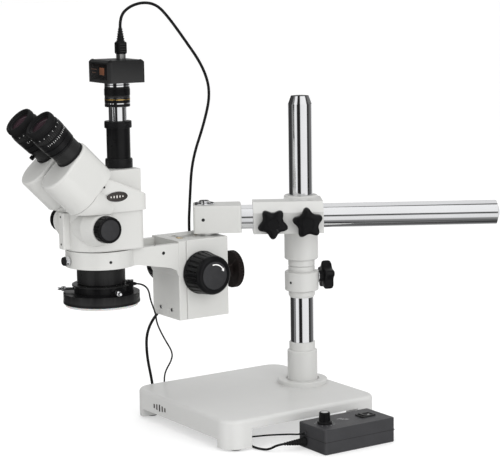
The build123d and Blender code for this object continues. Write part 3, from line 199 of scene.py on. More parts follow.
# ---------------- materials ----------------
class Surface:
    """Node material: a shader with colour drift, uneven gloss and fine relief."""

    def __init__(self, name, color, roughness, metallic=0.0):
        self.material = bpy.data.materials.new(name)
        self.material.use_nodes = True
        self.tree = self.material.node_tree
        self.shader = self.tree.nodes["Principled BSDF"]
        self.place = self.tree.nodes.new("ShaderNodeTexCoord").outputs["Object"]
        self.color = color
        self.roughness = roughness
        self.shader.inputs["Metallic"].default_value = metallic
        self.normal = None

    def noise(self, scale, detail=3.0, stretch=(1, 1, 1)):
        mapping = self.tree.nodes.new("ShaderNodeMapping")
        mapping.inputs["Scale"].default_value = stretch
        self.tree.links.new(self.place, mapping.inputs["Vector"])
        texture = self.tree.nodes.new("ShaderNodeTexNoise")
        texture.inputs["Scale"].default_value = scale
        texture.inputs["Detail"].default_value = detail
        self.tree.links.new(mapping.outputs["Vector"], texture.inputs["Vector"])
        return texture.outputs["Fac"]

    def drift(self, scale, amount, stretch=(1, 1, 1)):
        """Base colour that wanders a little lighter and darker."""
        ramp = self.tree.nodes.new("ShaderNodeValToRGB")
        for element, change in zip(ramp.color_ramp.elements, (1 - amount, 1 + amount)):
            element.color = [min(1.0, c * change) for c in self.color] + [1]
        ramp.color_ramp.elements[0].position = 0.3
        ramp.color_ramp.elements[1].position = 0.7
        self.tree.links.new(self.noise(scale, 4, stretch), ramp.inputs["Fac"])
        self.tree.links.new(ramp.outputs["Color"], self.shader.inputs["Base Color"])
        self.tint = ramp.outputs["Color"]
        return self

    def gloss(self, scale, amount, stretch=(1, 1, 1)):
        """Roughness that varies, as handled or sprayed surfaces do."""
        spread = self.tree.nodes.new("ShaderNodeMapRange")
        spread.inputs["To Min"].default_value = max(0.02, self.roughness - amount)
        spread.inputs["To Max"].default_value = self.roughness + amount
        self.tree.links.new(self.noise(scale, 4, stretch), spread.inputs["Value"])
        self.tree.links.new(spread.outputs["Result"], self.shader.inputs["Roughness"])
        return self

    def relief(self, scale, depth, strength=0.4, detail=2.0, stretch=(1, 1, 1)):
        bump = self.tree.nodes.new("ShaderNodeBump")
        bump.inputs["Strength"].default_value = strength
        bump.inputs["Distance"].default_value = depth
        self.tree.links.new(self.noise(scale, detail, stretch), bump.inputs["Height"])
        if self.normal:
            self.tree.links.new(self.normal, bump.inputs["Normal"])
        self.normal = bump.outputs["Normal"]
        self.tree.links.new(self.normal, self.shader.inputs["Normal"])
        return self

    def worn(self, color, start=0.54, full=0.62):
        """Edges where the finish has rubbed through."""
        edges = self.tree.nodes.new("ShaderNodeNewGeometry").outputs["Pointiness"]
        spread = self.tree.nodes.new("ShaderNodeMapRange")
        spread.inputs["From Min"].default_value = start
        spread.inputs["From Max"].default_value = full
        self.tree.links.new(edges, spread.inputs["Value"])
        mix = self.tree.nodes.new("ShaderNodeMix")
        mix.data_type = "RGBA"
        self.tree.links.new(spread.outputs["Result"], mix.inputs["Factor"])
        self.tree.links.new(self.tint, mix.inputs["A"])
        mix.inputs["B"].default_value = (*color, 1)
        self.tree.links.new(mix.outputs["Result"], self.shader.inputs["Base Color"])
        return self

    def set(self, **values):
        for key, value in values.items():
            self.shader.inputs[key.replace("_", " ")].default_value = value
        return self


def make_materials():
    made = {}

    def add(name, *look, **more):
        made[name] = Surface(name, *look, **more)
        return made[name]

    enamel = add("white_enamel", (0.54, 0.54, 0.523), 0.34).drift(14, 0.015).gloss(40, 0.05)
    enamel.relief(900, 0.0001, 0.12).relief(260, 0.0002, 0.10).set(Coat_Weight=0.25, Coat_Roughness=0.12)
    cast = add("cast_enamel", (0.54, 0.54, 0.53), 0.38).drift(9, 0.02).gloss(30, 0.06)
    cast.relief(420, 0.0002, 0.22).set(Coat_Weight=0.2, Coat_Roughness=0.15)
    steel = add("steel_enamel", (0.54, 0.54, 0.526), 0.36).drift(12, 0.015).gloss(40, 0.05)
    steel.relief(600, 0.0002, 0.12).set(Coat_Weight=0.25, Coat_Roughness=0.12)
    add("chrome_bar", (0.86, 0.865, 0.88), 0.075, metallic=1.0).drift(20, 0.02).gloss(60, 0.02).relief(
        1500, 0.0001, 0.03)
    add("zinc", (0.62, 0.62, 0.61), 0.3, metallic=1.0).drift(90, 0.05).gloss(200, 0.08).relief(1200,
                                                                                               0.0001,
                                                                                               0.15)
    add("bright_ring", (0.80, 0.80, 0.80), 0.2, metallic=1.0).drift(60, 0.03).gloss(300, 0.06).relief(
        900, 0.0001, 0.08, stretch=(1, 1, 8))
    black = add("black_anodised", (0.006, 0.006, 0.0065), 0.3).drift(60, 0.15).gloss(90, 0.08)
    black.relief(1800, 0.0001, 0.12).worn((0.02, 0.02, 0.02)).set(Specular_IOR_Level=0.16)
    knob = add("black_knob", (0.005, 0.005, 0.0055), 0.34).drift(80, 0.15).gloss(120, 0.08)
    knob.relief(2200, 0.00012, 0.25).worn((0.03, 0.03, 0.03)).set(Specular_IOR_Level=0.16)
    add("knob_face", (0.022, 0.022, 0.024), 0.55).drift(150, 0.12).gloss(200, 0.08).relief(2600, 0.0002,
                                                                                           0.35)
    brown = add("brown_knob", (0.012, 0.0085, 0.008), 0.48).drift(60, 0.2).gloss(120, 0.08)
    brown.relief(1800, 0.00015, 0.3).worn((0.05, 0.04, 0.038)).set(Specular_IOR_Level=0.16)
    add("black_rubber", (0.009, 0.009, 0.0095), 0.6).drift(60, 0.2).gloss(90, 0.08).relief(
        2400, 0.0002, 0.35).set(Specular_IOR_Level=0.16)
    add("brass_rack", (0.72, 0.52, 0.22), 0.28, metallic=1.0).drift(90, 0.06).gloss(200,
                                                                                    0.08).relief(900,
                                                                                                 0.0001,
                                                                                                 0.2)
    add("diffuser", (0.60, 0.60, 0.60), 0.5).drift(60, 0.02).gloss(120, 0.05).relief(1500, 0.0002,
                                                                                     0.15).set(
        Subsurface_Weight=0.3, Subsurface_Scale=0.004)
    camera = add("camera_black", (0.007, 0.007, 0.0075), 0.42).drift(60, 0.12).gloss(200, 0.06)
    camera.relief(2200, 0.00012, 0.2).worn((0.03, 0.03, 0.03)).set(Specular_IOR_Level=0.16)
    add("box_grey", (0.035, 0.035, 0.038), 0.5).drift(40, 0.08).gloss(90, 0.06).relief(1400, 0.0003, 0.35)
    add("cord_black", (0.007, 0.007, 0.0075), 0.45).drift(120, 0.15).gloss(300, 0.08).relief(
        1800, 0.0001, 0.2).set(Specular_IOR_Level=0.16)
    add("glass", (0.9, 0.95, 1.0), 0.04).drift(8, 0.02).gloss(30, 0.01).set(
        Transmission_Weight=1.0, IOR=1.5)
    add("coated_lens", (0.030, 0.014, 0.020), 0.05).drift(30, 0.12).gloss(20, 0.01).set(
        Coat_Weight=1.0, Coat_Roughness=0.03)
    add("plate_dark", (0.035, 0.030, 0.028), 0.35).drift(80, 0.15).gloss(150, 0.06)
    add("plate_light", (0.72, 0.70, 0.66), 0.4).drift(80, 0.03).gloss(150, 0.06).relief(1500, 0.0001, 0.1)
    add("panel_black", (0.008, 0.007, 0.007), 0.12).drift(80, 0.15).gloss(150,
                                                                          0.03).set(Coat_Weight=0.6,
                                                                                    Coat_Roughness=0.05)
    add("lamp", (0.86, 0.86, 0.80), 0.2).drift(300, 0.05).gloss(200, 0.04).set(Coat_Weight=0.5,
                                                                               Coat_Roughness=0.05)
    for name, color, roughness, change in (
        ("mark_white", (0.80, 0.80, 0.79), 0.5, 0.04),
        ("mark_grey", (0.42, 0.42, 0.42), 0.5, 0.05),
        ("mark_orange", (0.16, 0.055, 0.022), 0.45, 0.05),
        ("line_brown", (0.09, 0.045, 0.03), 0.4, 0.05),
    ):
        add(name, color, roughness).drift(200, change).gloss(200, 0.05)
    add("gold_line", (0.75, 0.50, 0.18), 0.3, metallic=1.0).drift(90, 0.06).gloss(200, 0.05)
    # Painted shade: black for screw sockets and screw holes, where the dark is shade inside the recess; also the
    # dark seams of the boxes.
    add("painted_socket_shade_and_seam_black", (0.01, 0.01, 0.01), 0.7).drift(90, 0.2).gloss(90, 0.05)
    return {name: surface.material for name, surface in made.items()}


# ---------------- building helpers ----------------
def polar(radius, degrees):
    angle = math.radians(degrees)
    return (radius * math.cos(angle), radius * math.sin(angle))


def heading(degrees):
    """Level direction at an angle from the X axis."""
    return Vector((*polar(1.0, degrees), 0))


def shifted(place, x, y, z):
    """The place moved by mm along its own axes."""
    return place @ Matrix.Translation((x * MM, y * MM, z * MM))


def place_at(origin, axis, top=UP):
    """Matrix with its Z along axis, its Y as near top as it can be, at a point in metres."""
    z = Vector(axis).normalized()
    x = Vector(top).cross(z)
    if x.length < 1e-6:
        x = Vector((1, 0, 0))
    x.normalize()
    y = z.cross(x)
    turn = Matrix((x, y, z)).transposed().to_4x4()
    return Matrix.Translation(Vector(origin)) @ turn


def finish_mesh(name, mesh_data, place, material, body, angle=32):
    mesh = bpy.data.meshes.new(name)
    mesh_data.normal_update()
    mesh_data.to_mesh(mesh)
    mesh_data.free()
    mesh.transform(place)
    mesh.update()
    for polygon in mesh.polygons:
        polygon.use_smooth = True
    mesh.set_sharp_from_angle(angle=math.radians(angle))
    piece = bpy.data.objects.new(name, mesh)
    bpy.context.scene.collection.objects.link(piece)
    mesh.materials.append(MATERIALS[material])
    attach(piece, body)
    return piece


def turned(name, place, profile, material, body, steps=96, wave=None, angle=32):
    """Solid of revolution about the place's Z. profile is (radius, height) in mm, from axis to axis or as a
    closed ring; wave(angle, radius, height) may change the radius, for lobes, flutes and knurls."""
    work = bmesh.new()
    closed = profile[0][0] > 0 and profile[-1][0] > 0
    rings = []
    for radius, height in profile:
        if radius == 0:
            rings.append([work.verts.new((0, 0, height * MM))])
            continue
        ring = []
        for step in range(steps):
            a = 2 * math.pi * step / steps
            r = (wave(a, radius, height) if wave else radius) * MM
            ring.append(work.verts.new((r * math.cos(a), r * math.sin(a), height * MM)))
        rings.append(ring)
    pairs = list(zip(rings, rings[1:]))
    if closed:
        pairs.append((rings[-1], rings[0]))
    for low, high in pairs:
        for step in range(steps):
            after = (step + 1) % steps
            if len(low) == 1:
                work.faces.new((low[0], high[step], high[after]))
            elif len(high) == 1:
                work.faces.new((low[step], low[after], high[0]))
            else:
                work.faces.new((low[step], low[after], high[after], high[step]))
    bmesh.ops.recalc_face_normals(work, faces=work.faces)
    return finish_mesh(name, work, place, material, body, angle)


def rounded_box(name, place, size, material, body, slot=None, bevel=0.6, segments=3):
    """Box with rounded edges, centred on the place; sizes in mm."""
    work = bmesh.new()
    bmesh.ops.create_cube(work, size=1.0)
    bmesh.ops.scale(work, vec=[s * MM for s in size], verts=work.verts)
    bmesh.ops.bevel(work, geom=work.edges[:], offset=bevel * MM, segments=segments, profile=0.5,
                    affect="EDGES")
    return finish_mesh(name, work, place, material, body)


def plate(name, place, outline, thick, material, body, bevel=0.3):
    """Flat plate of an outline in the place's XY, in mm, with its face's edge rounded."""
    work = bmesh.new()
    low = [work.verts.new((x * MM, y * MM, 0)) for x, y in outline]
    work.faces.new(low)
    top = bmesh.ops.extrude_face_region(work, geom=work.faces[:])
    moved = [v for v in top["geom"] if isinstance(v, bmesh.types.BMVert)]
    bmesh.ops.translate(work, vec=(0, 0, thick * MM), verts=moved)
    bmesh.ops.recalc_face_normals(work, faces=work.faces)
    rim = [e for e in work.edges if all(v.co.z > thick * MM / 2 for v in e.verts)]
    bmesh.ops.bevel(work, geom=rim, offset=bevel * MM, segments=2, profile=0.5, affect="EDGES")
    return finish_mesh(name, work, place, material, body)


def bar(width, height, x=0.0, y=0.0):
    """Outline of a rectangle round a point, in mm."""
    return [(x + a * width / 2, y + b * height / 2) for a, b in ((-1, -1), (1, -1), (1, 1), (-1, 1))]


def box_at(name, middle, size, material, *rest):
    """Rounded box round a point in mm on the stand."""
    return rounded_box(name, Matrix.Translation(Vector(middle) * MM), size, material, "stand", *rest)


def oval(width, height, count=48):
    """Outline of an oval, in mm."""
    angles = [2 * math.pi * i / count for i in range(count)]
    return [(width / 2 * math.cos(a), height / 2 * math.sin(a)) for a in angles]


def flutes(count, depth, share=0.5, low=-1e9, high=1e9):
    """Wave for turned(): count rounded grooves of a depth in mm between two heights."""

    def wave(angle, radius, height):
        if not low <= height <= high:
            return radius
        across = (angle * count / (2 * math.pi)) % 1.0
        if across > share:
            return radius
        return radius - depth * math.sin(math.pi * across / share)

    return wave


# ---------------- cords ----------------
GLAND_TURN = 56.5  # degrees: the side on which the ring light's lead leaves it


def spline_points(route, radius, name):
    """A smooth cord's line: one NURBS spline through the route's control points."""
    data = bpy.data.curves.new(name, "CURVE")
    data.dimensions = "3D"
    spline = data.splines.new("NURBS")
    spline.points.add(len(route) - 1)
    for point, co in zip(spline.points, route):
        point.co = (*co, 1)
    spline.order_u = 3
    spline.use_endpoint_u = True
    spline.resolution_u = 8
    data.bevel_depth = radius
    data.bevel_resolution = 4
    data.use_fill_caps = True
    return data


def follow(data):
    """Points read along a curve's own line."""
    depth, data.bevel_depth = data.bevel_depth, 0
    probe = bpy.data.objects.new("probe", data)
    bpy.context.scene.collection.objects.link(probe)
    mesh = bpy.data.meshes.new_from_object(probe)
    line = [v.co.copy() for v in mesh.vertices]
    bpy.data.objects.remove(probe)
    bpy.data.meshes.remove(mesh)
    data.bevel_depth = depth
    return line


def length_of(line):
    return sum((b - a).length for a, b in zip(line, line[1:]))


def tube(name, line, radius, material, sides=16):
    """Mesh tube along a line, closed at both ends."""
    work = bmesh.new()
    rings = []
    side = None
    for index, point in enumerate(line):
        ahead = (line[min(index + 1, len(line) - 1)] - line[max(index - 1, 0)]).normalized()
        if side is None:
            side = ahead.orthogonal().normalized()
        side = (side - ahead * side.dot(ahead)).normalized()
        other = ahead.cross(side)
        ring = []
        for step in range(sides):
            a = 2 * math.pi * step / sides
            ring.append(work.verts.new(point + (side * math.cos(a) + other * math.sin(a)) * radius))
        rings.append(ring)
    for low, high in zip(rings, rings[1:]):
        for step in range(sides):
            after = (step + 1) % sides
            work.faces.new((low[step], low[after], high[after], high[step]))
    work.faces.new(reversed(rings[0]))
    work.faces.new(rings[-1])
    mesh = bpy.data.meshes.new(name)
    work.to_mesh(mesh)
    work.free()
    for polygon in mesh.polygons:
        polygon.use_smooth = True
    mesh.set_sharp_from_angle(angle=math.radians(60))
    mesh.materials.append(MATERIALS[material])
    piece = bpy.data.objects.new(name, mesh)
    bpy.context.scene.collection.objects.link(piece)
    return piece


def coil_turns(x, y, z, outer, pitch, columns, way, start, climb, extra=0):
    """Two flat spirals, one on the other: in along the floor, then out again above it. way is 1 for
    anticlockwise from above, and start is the angle, in degrees, at which the cord joins the outer turn.
    extra is how many steps, of 16 to a turn, the upper spiral goes on for."""
    points = []
    per_turn = 16
    inner = outer - pitch * (columns - 1)
    spiral = per_turn * (columns - 1)
    for step in range(1, 2 * spiral + per_turn + extra + 1):
        if step <= spiral:
            radius, height = outer - pitch * step / per_turn, z
        elif step <= spiral + per_turn:
            radius, height = inner, z + climb * (step - spiral) / per_turn
        else:
            radius, height = inner + pitch * (step - spiral - per_turn) / per_turn, z + climb
        angle = math.radians(start) + way * 2 * math.pi * step / per_turn
        wide = radius / math.cos(math.pi / per_turn) ** 0.5
        points.append((x + wide * math.cos(angle), y + wide * math.sin(angle), height))
    return points


def millimetres(points):
    return [tuple(c * MM for c in p) for p in points]


def moving_cord(name, nodes, line, radius, cuts, bodies):
    """Cuts a line into stretches, one for each joint that it crosses, each a tube of its own; the
    last stretch lies still on the stand. cuts are the shares of the line's length at which one ends."""
    total = length_of(line)
    marks = [c * total for c in cuts]
    gone, stretches, current = 0.0, [], [line[0]]
    for a, b in zip(line, line[1:]):
        step = (b - a).length
        while len(stretches) < len(marks) and marks[len(stretches)] <= gone + step:
            cut = a.lerp(b, (marks[len(stretches)] - gone) / step)
            if (cut - current[-1]).length > 1e-6:
                current.append(cut)
            stretches.append(current)
            current = [cut]
        gone += step
        if (b - current[-1]).length > 1e-6:
            current.append(b)
    stretches.append(current)
    for index, points in enumerate(stretches):
        piece = tube(f"{name}_{index}", points, radius, "cord_black")
        if index == 0:
            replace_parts(piece, *nodes)
        if index < len(bodies) - 1:
            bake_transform(piece)
        else:
            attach(piece, "stand")


def make_cords():
    """The routes repeat the CAD's, in millimetres; each coil's turns are worked out."""
    plug_low, plug_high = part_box("usb_plug")
    usb_start = Vector(((plug_low.x + plug_high.x) / 2, (plug_low.y + plug_high.y) / 2, plug_high.z)) / MM
    usb_route = [
        tuple(usb_start),
        tuple(usb_start + Vector((0, 0, 13))),
        (-35, -161, 557),
        (-42, -136, 563),
        (-47, -112, 559.5),
        (-51, -93, 544),
        (-56, -66, 514),
        (-61, -34, 476),
        (-62, -22, 441),
        (-68, -29, 400),
        (-74, -46, 350),
        (-78, -48, 300),
        (-80, -50, 254),
        (-81, -44, 206),
        (-84, -58, 171),
        (-89, -92, 150),
        (-96, -110, 122),
        (-112, -102, 84),
        (-125, -86, 38),
        (-134, -79, 13),
        (-140, -66, 2),
        (-149, -53, 2),
        (-163, -48, 2),
    ]
    usb_route += coil_turns(-162, -20, 2.0, 28.0, 4.0, 5, -1, -90, 4.0, extra=4)
    usb_route += [(-191, -10, 5.6), (-191, -2, 5.0)]
    line = follow(spline_points(millimetres(usb_route), 1.9 * MM, "usb_line"))
    total = length_of(line) / MM
    marks = [d / total for d in (200, 288, 328, 418, 462, 505, 590, 668)]
    moving_cord("usb_lead", ["usb_cable", "usb_cable_coil"], line, 1.9 * MM, marks,
                ["camera", "head", "carrier", "focus_block", "end_block", "boom", "clamp", "collar",
                 "stand"])

    ring = Vector(JOINTS["head_turn"]["pos_m"]) / MM
    gland = heading(GLAND_TURN)
    led_start = Vector((ring.x, ring.y, 206)) + gland * 41
    box_low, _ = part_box("control_box_base")
    lead_x, box_front = box_low.x / MM + 16.4, box_low.y / MM
    led_route = [
        tuple(led_start),
        tuple(led_start + gland * 8),
        (-6, -161.5, 201),
        (-15, -151.5, 192),
        (-27, -143, 179),
        (-38, -133, 166),
        (-49, -122.5, 153),
        (-63, -113, 136),
        (-78, -93, 110),
        (-91, -73, 87),
        (-101, -68.5, 73),
        (-116, -71, 54),
        (-126, -67, 36),
        (-133, -61, 13),
        (-127, -55, 1.2),
        (-105, -47, 1.2),
        (-60, -43, 1.2),
        (-8, -50, 1.2),
        (40, -65, 1.2),
        (72, -71, 3),
        (98, -68, 9),
        (119, -61, 14.5),
        (138, -55, 18.5),
        (151, -46, 20.5),
        (lead_x, -37.5, 20),
        (lead_x, box_front - 3, 20),
    ]
    line = follow(spline_points(millimetres(led_route), 1.1 * MM, "led_line"))
    total = length_of(line) / MM
    marks = [d / total for d in (50, 86, 124, 160, 195, 232, 270)]
    moving_cord("ring_light_lead", ["led_cable"], line, 1.1 * MM, marks,
                ["head", "carrier", "focus_block", "end_block", "boom", "clamp", "collar", "stand"])

    boot_root = Vector((box_low.x / MM + 14.4, box_front - 1, 9))
    boot_end = Vector((box_low.x / MM + 9.4, box_front - 28.5, 9))
    power_route = [
        tuple(boot_end),
        tuple(boot_end + (boot_end - boot_root).normalized() * 10),
        (139, -72, 1.6),
        (126, -79, 1.6),
        (110, -79.5, 1.6),
        (92, -71, 1.6),
        (74, -55, 1.6),
        (44, -39, 1.6),
        (0, -23, 1.6),
        (-50, -11, 1.6),
        (-94, -6, 1.6),
        (-120, 5, 1.6),
        (-132, 22, 1.6),
        (-135.2, 40, 1.6),
        (-135.2, 56, 1.6),
    ]
    power_route += coil_turns(-158, 62, 1.6, 22.8, 3.15, 5, 1, 0, 3.2)
    power_route += [(-135.2, 66, 4.9), (-135.2, 76, 5.0)]
    line = follow(spline_points(millimetres(power_route), 1.5 * MM, "power_line"))
    moving_cord("power_lead", ["power_cable", "power_cable_coil"], line, 1.5 * MM, [],
                ["stand"])


# ---------------- carried-over CAD parts ----------------
def dress_cad():
    """Materials for the CAD parts that stay."""
    for name, node in frame["nodes"].items():
        node.data.materials.clear()
        node.data.materials.append(MATERIALS[CAD_FINISH.get(name, SLOT_OF[name])])


# ---------------- stand ----------------
def star_wave(angle, radius, height):
    """Five narrow lobes with wide scallops between."""
    lobe = 0.5 + 0.5 * math.cos(5 * angle)
    return radius * (0.71 + 0.29 * lobe ** 1.35)


def make_star_knob(node):
    """Five-lobed hand knob with a dished face, on a round hub with a bright washer."""
    hinge = JOINTS[f"{node}_turn"]
    axis = Vector(hinge["axis"])
    body = BODY_OF[node]
    middle = Vector(hinge["pos_m"])
    far = max(v.co.dot(axis) for v in frame["nodes"][node].data.vertices) - middle.dot(axis)
    depth = 13.5 * MM
    base = middle + axis * (far - depth)
    top = LOBE_TOPS[node]
    place = place_at(base, axis, top)
    spin = place @ Matrix.Rotation(math.radians(90), 4, "Z")
    profile = [(0, 0), (17.5, 0), (19.8, 0.8), (20.5, 2.4), (20.5, 9.0), (19.7, 11.4), (17.6, 12.8),
               (12, 13.5), (8.2, 13.5), (7.4, 12.8), (0, 12.8)]

    def wave(angle, radius, height):
        return star_wave(angle, radius, height) if radius > 10 else radius

    knob = turned(f"{node}_lobes", spin, profile, "black_knob", body, steps=140, wave=wave, angle=40)
    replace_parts(knob, node)
    hub = [(0, -7), (7.6, -7), (8, -6.6), (8, -1), (8.6, 0.4), (0, 0.4)]
    turned(f"{node}_hub", place, hub, "black_knob", body, steps=48)
    washer = [(4.2, -7.2), (8.8, -7.2), (9.0, -6.9), (9.0, -6.3), (8.8, -6.0), (4.2, -6.0)]
    turned(f"{node}_washer", place, washer, "chrome_bar", body, steps=64)
    return knob


# Which way one lobe of each hand knob points.
LOBE_TOPS = {
    "collar_knob": Vector((0, 0, 1)),
    "clamp_knob_front": Vector((0, 0, -1)),
    "clamp_knob_rear": Vector((-0.05, -0.08, 1)),
    "post_lock_knob": Vector((0, 0.3, 1)),
}


def screw_socket(name, at, axis, radius, body, deep=0.6):
    """Black disc for a set screw's socket, just proud of the face around it; the black is painted shade of the
    hole.
    """
    profile = [(0, 0.05), (radius * 0.8, 0.05), (radius, 0.15), (radius * 1.12, 0.02),
               (radius * 1.12, -deep), (0, -deep)]
    return turned(name, place_at(at, axis), profile, "painted_socket_shade_and_seam_black", body, steps=24)


def head_axis(dx=0.0, dy=0.0, z=0.0):
    """Point in metres, given in mm from the head's axis and above the surface."""
    ring = JOINTS["head_turn"]["pos_m"]
    return Vector((ring[0] + dx * MM, ring[1] + dy * MM, z * MM))


def port_axis(z):
    port = JOINTS["camera_turn"]["pos_m"]
    return Vector((port[0], port[1], z * MM))


def joint_place(joint, back=0.0, top=UP):
    """Matrix on a hinge, its Z along the hinge's axis, moved back along it by some mm."""
    hinge = JOINTS[joint]
    axis = Vector(hinge["axis"])
    return place_at(Vector(hinge["pos_m"]) - axis * back * MM, axis, top)


def arc_band(inner, outer, start, end, count=18):
    """Outline of a flat arc, in mm and degrees."""
    angles = [start + (end - start) * i / count for i in range(count + 1)]
    return [polar(outer, a) for a in angles] + [polar(inner, a) for a in reversed(angles)]


def ticks(name, place, radius, height, angles, size, body):
    """Engraved marks round a turned part, filled with white: one mesh of thin bars."""
    work = bmesh.new()
    for angle, long in angles:
        bar = bmesh.ops.create_cube(work, size=1.0)["verts"]
        bmesh.ops.scale(work, vec=(0.2 * MM, size * MM, long * MM), verts=bar)
        turn = Matrix.Rotation(math.radians(angle), 4, "Z")
        bmesh.ops.transform(work, matrix=turn @ Matrix.Translation((radius * MM, 0, height * MM)),
                            verts=bar)
    bmesh.ops.bevel(work, geom=work.edges[:], offset=0.03 * MM, segments=1, affect="EDGES")
    return finish_mesh(name, work, place, "mark_white", body)


# ---------------- focus block ----------------
def make_focus_knobs():
    """Two ribbed knobs that narrow outwards, each with a grey face and a plain turning mark."""
    hinge = JOINTS["focus_turn"]
    low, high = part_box("focus_knobs")
    profile = [(0, 0), (27.6, 0), (28.5, 0.6), (28.5, 2.2), (27.9, 2.9), (27.9, 4.4), (27.75, 5.2),
               (26.7, 17), (25.9, 26), (25.7, 27.2), (25.4, 29.2), (24.4, 31), (22, 32.6), (20.6, 33),
               (19.4, 33), (18.7, 32.4), (0, 32.4)]
    ribs = flutes(24, 1.5, 0.42, low=5, high=26.5)
    for word, side in (("right", 1), ("left", -1)):
        edge = high.x if side > 0 else low.x
        base = Vector((edge - side * 33 * MM, hinge["pos_m"][1], hinge["pos_m"][2]))
        place = place_at(base, (side, 0, 0))
        knob = turned(f"focus_knob_{word}", place, profile, "black_knob", "focus_drive", steps=240,
                      wave=ribs, angle=28)
        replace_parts(knob, "focus_knobs")
        face = [(0, 32.75), (17.6, 32.75), (18.1, 32.6), (18.3, 32.2), (0, 32.2)]
        turned(f"focus_face_{word}", place, face, "knob_face", "focus_drive", steps=72)
        mark = shifted(place, 0, 0, 32.72)
        plate(f"focus_arc_{word}", mark, arc_band(13.6, 15.0, 32, 104), 0.12, "mark_white",
              "focus_drive", 0.03)
        head = [polar(16.6, 32), polar(12.0, 32), polar(14.3, 17)]
        plate(f"focus_arrow_{word}", mark, head[::-1], 0.12, "mark_white", "focus_drive",
              0.03)


def make_lock_knob():
    """Large thin knob behind the block, knurled round its edge."""
    profile = [(0, 0), (8, 0), (8, 21), (10, 23), (21, 23.5), (23.4, 23.6), (24.6, 24.3), (25, 25),
               (25, 25.4), (25, 30.6), (25, 31.1), (24.4, 31.9), (23.2, 32.5), (21, 32.5), (20.2, 31.4),
               (9.5, 31.4), (8.6, 32.3), (0, 32.3)]
    low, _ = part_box("swivel_lock_knob")
    place = joint_place("swivel_lock_turn")
    place.translation.y = low.y + 9 * MM
    knob = turned("lock_knob", place, profile, "brown_knob", "swivel_lock", steps=252,
                  wave=flutes(36, 1.1, 0.5, low=25.2, high=30.8), angle=30)
    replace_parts(knob, "swivel_lock_knob")


def make_focus_screws():
    """Set screws and sunk screw heads of the block, the holder and the boom's end block."""
    slide_low, slide_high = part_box("focus_slide")
    mid = (slide_low.x + slide_high.x) / 2
    for word, side in (("a", -1), ("b", 1)):
        at = Vector((mid + side * 14 * MM, slide_low.y + 0.5 * MM, slide_low.z + 11 * MM))
        cap_screw(f"slide_screw_{word}", at, (0, -1, 0), 2.4, "carrier")
    screw_socket("holder_socket", Vector((slide_high.x, -139.3 * MM, 243 * MM)), (1, 0, 0), 2.0,
                 "carrier")
    for word, angle in (("side", -12), ("far", 168)):
        aim = heading(angle)
        screw_socket(f"ring_socket_{word}", head_axis(0, 0, 241) + aim * 45 * MM, aim, 1.7, "carrier")
    screw_socket("arm_top_socket", Vector((slide_high.x - 4 * MM, -150 * MM, 253.4 * MM)), (0, 0, 1),
                 1.1, "carrier")
    turn = Vector(JOINTS["boom_roll"]["axis"])
    out = turn.cross(UP)
    knob = JOINTS["clamp_knob_front_turn"]
    face = Vector(knob["pos_m"]) - Vector(knob["axis"]) * 22 * MM
    at = face - turn * 91 * MM + out * 22.5 * MM + Vector((0, 0, 5 * MM))
    screw_socket("end_block_socket", at, out, 2.0, "end_block")
    collar = Vector(JOINTS["collar_knob_turn"]["pos_m"])
    aim = heading(-75)
    screw_socket("collar_socket", Vector((collar.x, collar.y, 182 * MM)) + aim * 23 * MM, aim, 1.6,
                 "collar")


def cap_screw(name, at, axis, radius, body, material="zinc"):
    """Round screw head with a six-sided socket, whose floor is a black hexagon painted as the socket's shade."""
    profile = [(0, 0.3), (radius * 0.5, 0.3), (radius * 0.5, 1.0), (radius * 0.8, 1.1), (radius, 0.8),
               (radius, -1.5), (0, -1.5)]
    place = place_at(at, axis)
    turned(name, place, profile, material, body, steps=36)
    hole = [(0, 0.36), (radius * 0.48, 0.36), (radius * 0.48, 0.2), (0, 0.2)]
    turned(f"{name}_socket", place, hole, "painted_socket_shade_and_seam_black", body, steps=6)


def make_swivel_top():
    """Bright washer and bolt head on the end block."""
    low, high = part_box("swivel_bolt")
    at = Vector(((low.x + high.x) / 2, (low.y + high.y) / 2, high.z - 5.2 * MM))
    disc = [(0, 0), (13.0, 0), (13.3, 0.3), (13.3, 1.7), (12.9, 2.2), (9.2, 2.2), (8.8, 1.7),
            (8.4, 2.2), (6.9, 2.4), (6.9, 4.7), (6.3, 5.2), (3.7, 5.2), (3.4, 4.9), (3.4, 2.6), (0, 2.6)]
    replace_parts(turned("swivel_cap", place_at(at, UP), disc, "chrome_bar", "end_block",
                       steps=96), "swivel_bolt")
    # Black hexagon on the cap: painted shade of the bolt's socket.
    turned("swivel_cap_socket", place_at(at, UP), [(0, 2.9), (3.3, 2.9), (3.3, 2.5), (0, 2.5)],
           "painted_socket_shade_and_seam_black",
           "end_block", steps=6)
    pin = [(0, -61.5), (5.6, -61.5), (6, -61), (6, 0.4), (0, 0.4)]
    turned("swivel_pin", place_at(at, UP), pin, "zinc", "end_block", steps=48)


# ---------------- head ----------------
def make_zoom_knobs():
    low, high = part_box("zoom_knobs")
    pos = JOINTS["zoom_turn"]["pos_m"]
    profile = [(0, 0), (16.4, 0), (17, 0.5), (17, 1.9), (17, 2.6), (16.8, 9.6), (16.7, 10.4),
               (16.5, 11.6), (15.9, 12.6), (15, 13.1), (13.8, 13.1), (13.2, 12.6), (0, 12.6)]
    for word, side in (("right", 1), ("left", -1)):
        edge = high.x if side > 0 else low.x
        place = place_at(Vector((edge - side * 13.1 * MM, pos[1], pos[2])), (side, 0, 0))
        knob = turned(f"zoom_knob_{word}", place, profile, "black_knob", "zoom_drive", steps=216,
                      wave=flutes(18, 1.0, 0.4, low=2.4, high=12), angle=28)
        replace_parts(knob, "zoom_knobs")
        face = [(0, 12.95), (12.4, 12.95), (12.9, 12.8), (13.0, 12.4), (0, 12.4)]
        turned(f"zoom_face_{word}", place, face, "knob_face", "zoom_drive", steps=72)


